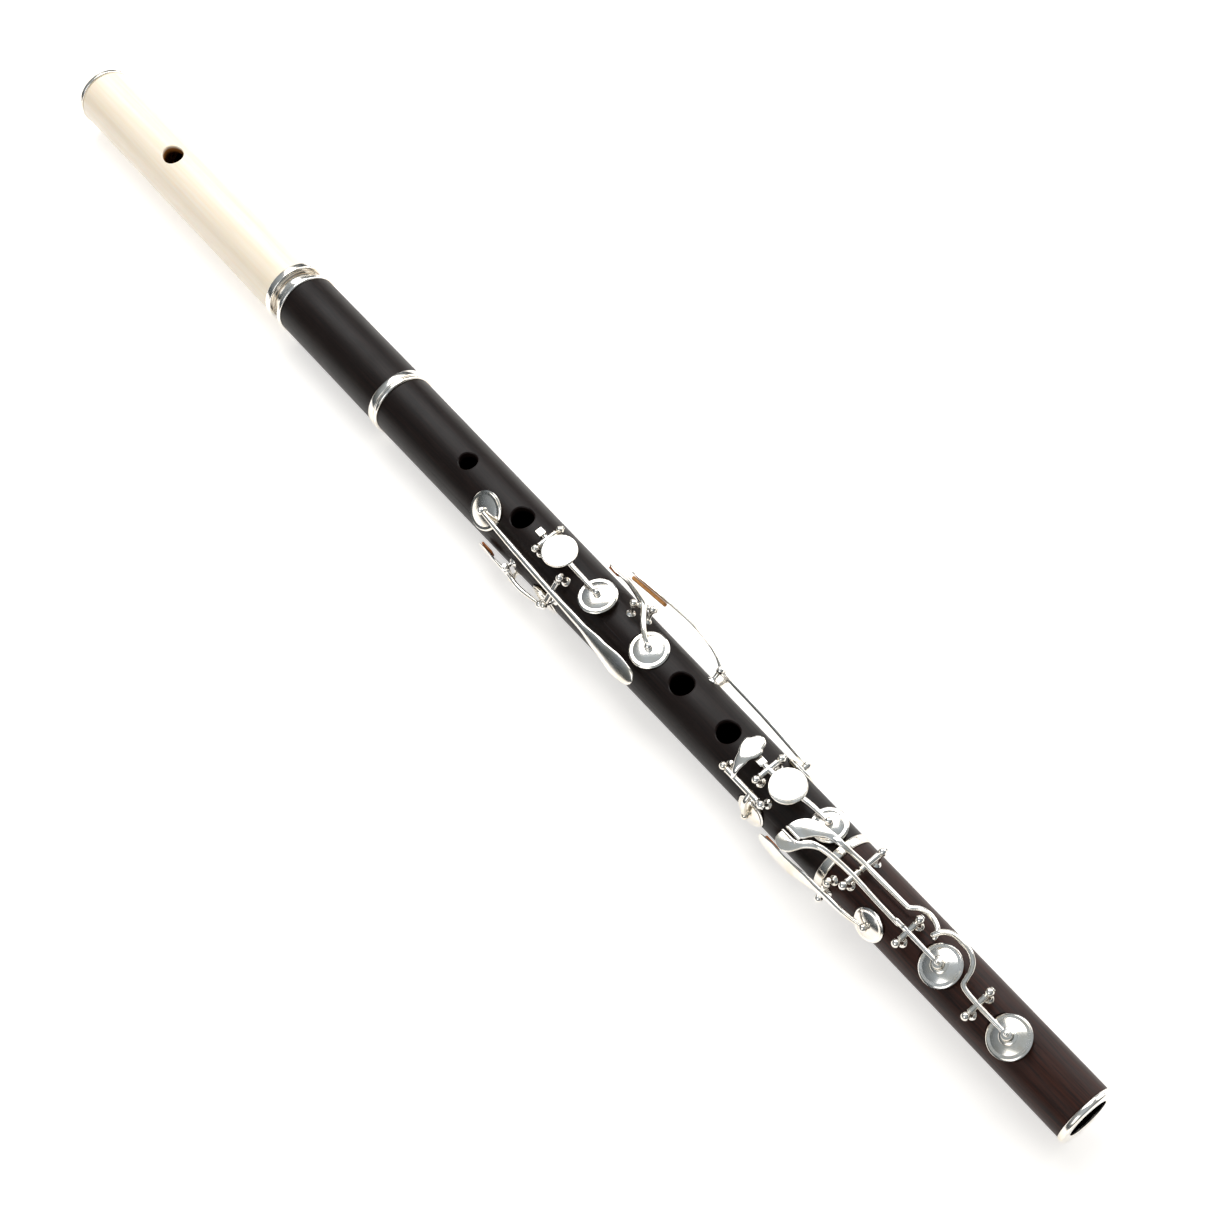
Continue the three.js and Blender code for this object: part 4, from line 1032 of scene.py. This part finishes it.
weld(key, forged_bar(
    [spot(-10, on_foot(-3.4), -4.4, low + 0.6), spot(-10, on_foot(-1), -3.4, low + 0.5),
     spot(-10, on_foot(3), -2.4, axle + 2.6), spot(-1, axle_x, -4.4, axle + 0.4),
     spot(-1, on_foot(20), -4.5, axle - 0.5), spot(-1, on_foot(29.2), -4.5, axle - 0.9)],
    [1.8, 2.2, 2.2, 2.1, 1.9, 1.8], [1.2, 1.6, 1.9, 2, 1.9, 1.7], square=2.6))
divider = forged_bar(
    [spot(-10, on_foot(-12.4), -8.9, touch_high + 0.1), spot(-10, on_foot(-7.2), -8.9, touch_high + 0.1)],
    [1.0, 1.0], [1.1, 1.1])
weld(key, divider)
finish_piece(key, "low_c_sharp_silver_touch", silver, "low_c_sharp_touch_key",
             "low_c_sharp_touch")

key = bmesh.new()
weld(key, sleeve_between(*balls, start=middle + out * -0.9 * MM))
outline = rounded_outline([
    (on_foot(-12.8), -7.2), (on_foot(-12.3), -3.2), (on_foot(-10.8), -0.2), (on_foot(-8.6), 2),
    (on_foot(-5.2), 3.4), (on_foot(0), 4.2), (on_foot(3), 4.2), (on_foot(3), 1.9),
    (on_foot(-1.4), 1.2), (on_foot(-3.6), -0.8), (on_foot(-5.2), -2.8), (on_foot(-7.3), -7.2),
], rounds=3)
weld(key, filed_plate(outline, low, touch_high, lean))
bends = ((6, 0.8, 1.8), (10.7, 1.5, 0.5), (20, 1.9, -0.3), (26.4, 2.2, -0.7), (28, 2.7, -0.8),
         (30, 5.1, -0.9), (33, 6.2, -0.9), (36, 5.6, -0.9), (38, 4, -0.9), (38.9, 1.6, -0.9))
weld(key, forged_bar(
    [spot(-10, on_foot(-0.5), 2.8, low + 0.6), spot(-10, on_foot(2), 3, low + 0.4)]
    + [spot(-1, on_foot(p), side, axle + rise) for p, side, rise in bends],
    [2.6, 2.4] + [2.1] * 3 + [1.9] * 7, [1.2, 1.7] + [2] * 3 + [1.8] * 7, square=2.6, spans=5))
weld(key, forged_bar(
    [spot(-10, on_foot(-12.3), -7.0, touch_high + 0.1), spot(-10, on_foot(-7.2), -7.0, touch_high + 0.1)],
    [1.0, 1.0], [1.1, 1.1]))
finish_piece(key, "low_c_silver_touch", silver, "low_c_touch_key", "low_c_touch")


# ---- The two low cups of the foot ----
# Each stands open on its own pillars with its tail over the end of a touch's bar. The lever of the lower one
# is bent round the other cup.
def foot_cup(name, along, cup, radius, tail):
    """An open cup lever of the foot."""
    balls = cross_balls(-15, along, 5.9, 4.6, foot_radius)
    pillar_pair(name + "_pillars", name + "_pivot", "foot_joint", foot_radius, *balls)
    key = bmesh.new()
    axle = foot_radius(along) + 4.6
    where = joint_turn(name + "_cup_turn", -9.5) @ stand_on(-15, cup, 0, foot_radius(cup) - 1.1)
    arm = make_cup(key, name, name + "_cup_key", where, radius, stepped=True)
    weld(key, sleeve_between(*balls))
    points = [spot(-15, on_foot(p), side, axle + rise) for p, side, rise in tail]
    points += [spot(-15, along, 0, axle + 0.4), arm]
    count = len(points)
    weld(key, forged_bar(points, [1.9] * (count - 1) + [1.6], [1.9] * (count - 1) + [1.5],
                         square=2.6, spans=5))
    finish_piece(key, name + "_silver_lever", silver, name + "_cup_key", name + "_lever")


foot_cup("low_c_sharp", on_foot(32.8), on_foot(45.2), 8.2, [(28.6, 0, 1.7), (30.6, 0, 1.2)])
foot_cup("low_c", on_foot(60.5), on_foot(71.9), 8.3, [
    (38.5, 5.7, 0.5), (39.7, 8.6, 0.7), (42, 10.7, 0.9), (45.2, 11.3, 1), (48.6, 11, 0.9),
    (51.3, 9.3, 0.8), (52.9, 6.6, 0.7), (53.6, 3.6, 0.6), (54.6, 0.8, 0.5),
])

# ---- The E flat key ----
# A broad plate for the little finger stands off the player's side, corked near its tip, and the cup is on
# the foot's near side.
balls = cross_balls(-60, on_foot(5.9), 4.5, 3.9, foot_radius, side=-0.8)
pillar_pair("e_flat_pillars", "e_flat_pivot", "foot_joint", foot_radius, *balls)
key = bmesh.new()
plate_low = 12.5 + 4.3
arm = make_cup(key, "e_flat", "e_flat_key",
               stand_on(-60, on_foot(21.9), 0, foot_radius(on_foot(21.9)) - 1.1), 6.8)
weld(key, sleeve_between(*balls))
weld(key, forged_bar(
    [arm, spot(-60, on_foot(14), -0.6, foot_radius(on_foot(5.9)) + 4.3),
     spot(-60, on_foot(5.9), -1.4, foot_radius(on_foot(5.9)) + 4.4),
     spot(-69, on_foot(-2), 0, plate_low + 0.8), spot(-77, on_foot(-8), 0, plate_low + 0.6),
     spot(-77, on_foot(-14), 0, plate_low + 0.6), spot(-77, on_foot(-17.8), 0, plate_low + 0.6)],
    [1.7, 2.4, 3, 5.6, 8, 8.4, 6.4], [1.4, 2, 2, 1.5, 1.2, 1.2, 1.1], square=2.4))
finish_piece(key, "e_flat_silver_lever", silver, "e_flat_key", "e_flat_lever")
bumper = forged_bar(
    [spot(-77, on_foot(-18.2), 0, plate_low - 0.65), spot(-77, on_foot(-12.9), 0, plate_low - 0.65)],
    [3.8, 4], [1.1, 1.1], square=6)
finish_piece(bumper, "e_flat_cork", bark_cork, "e_flat_key", "e_flat_bumper")
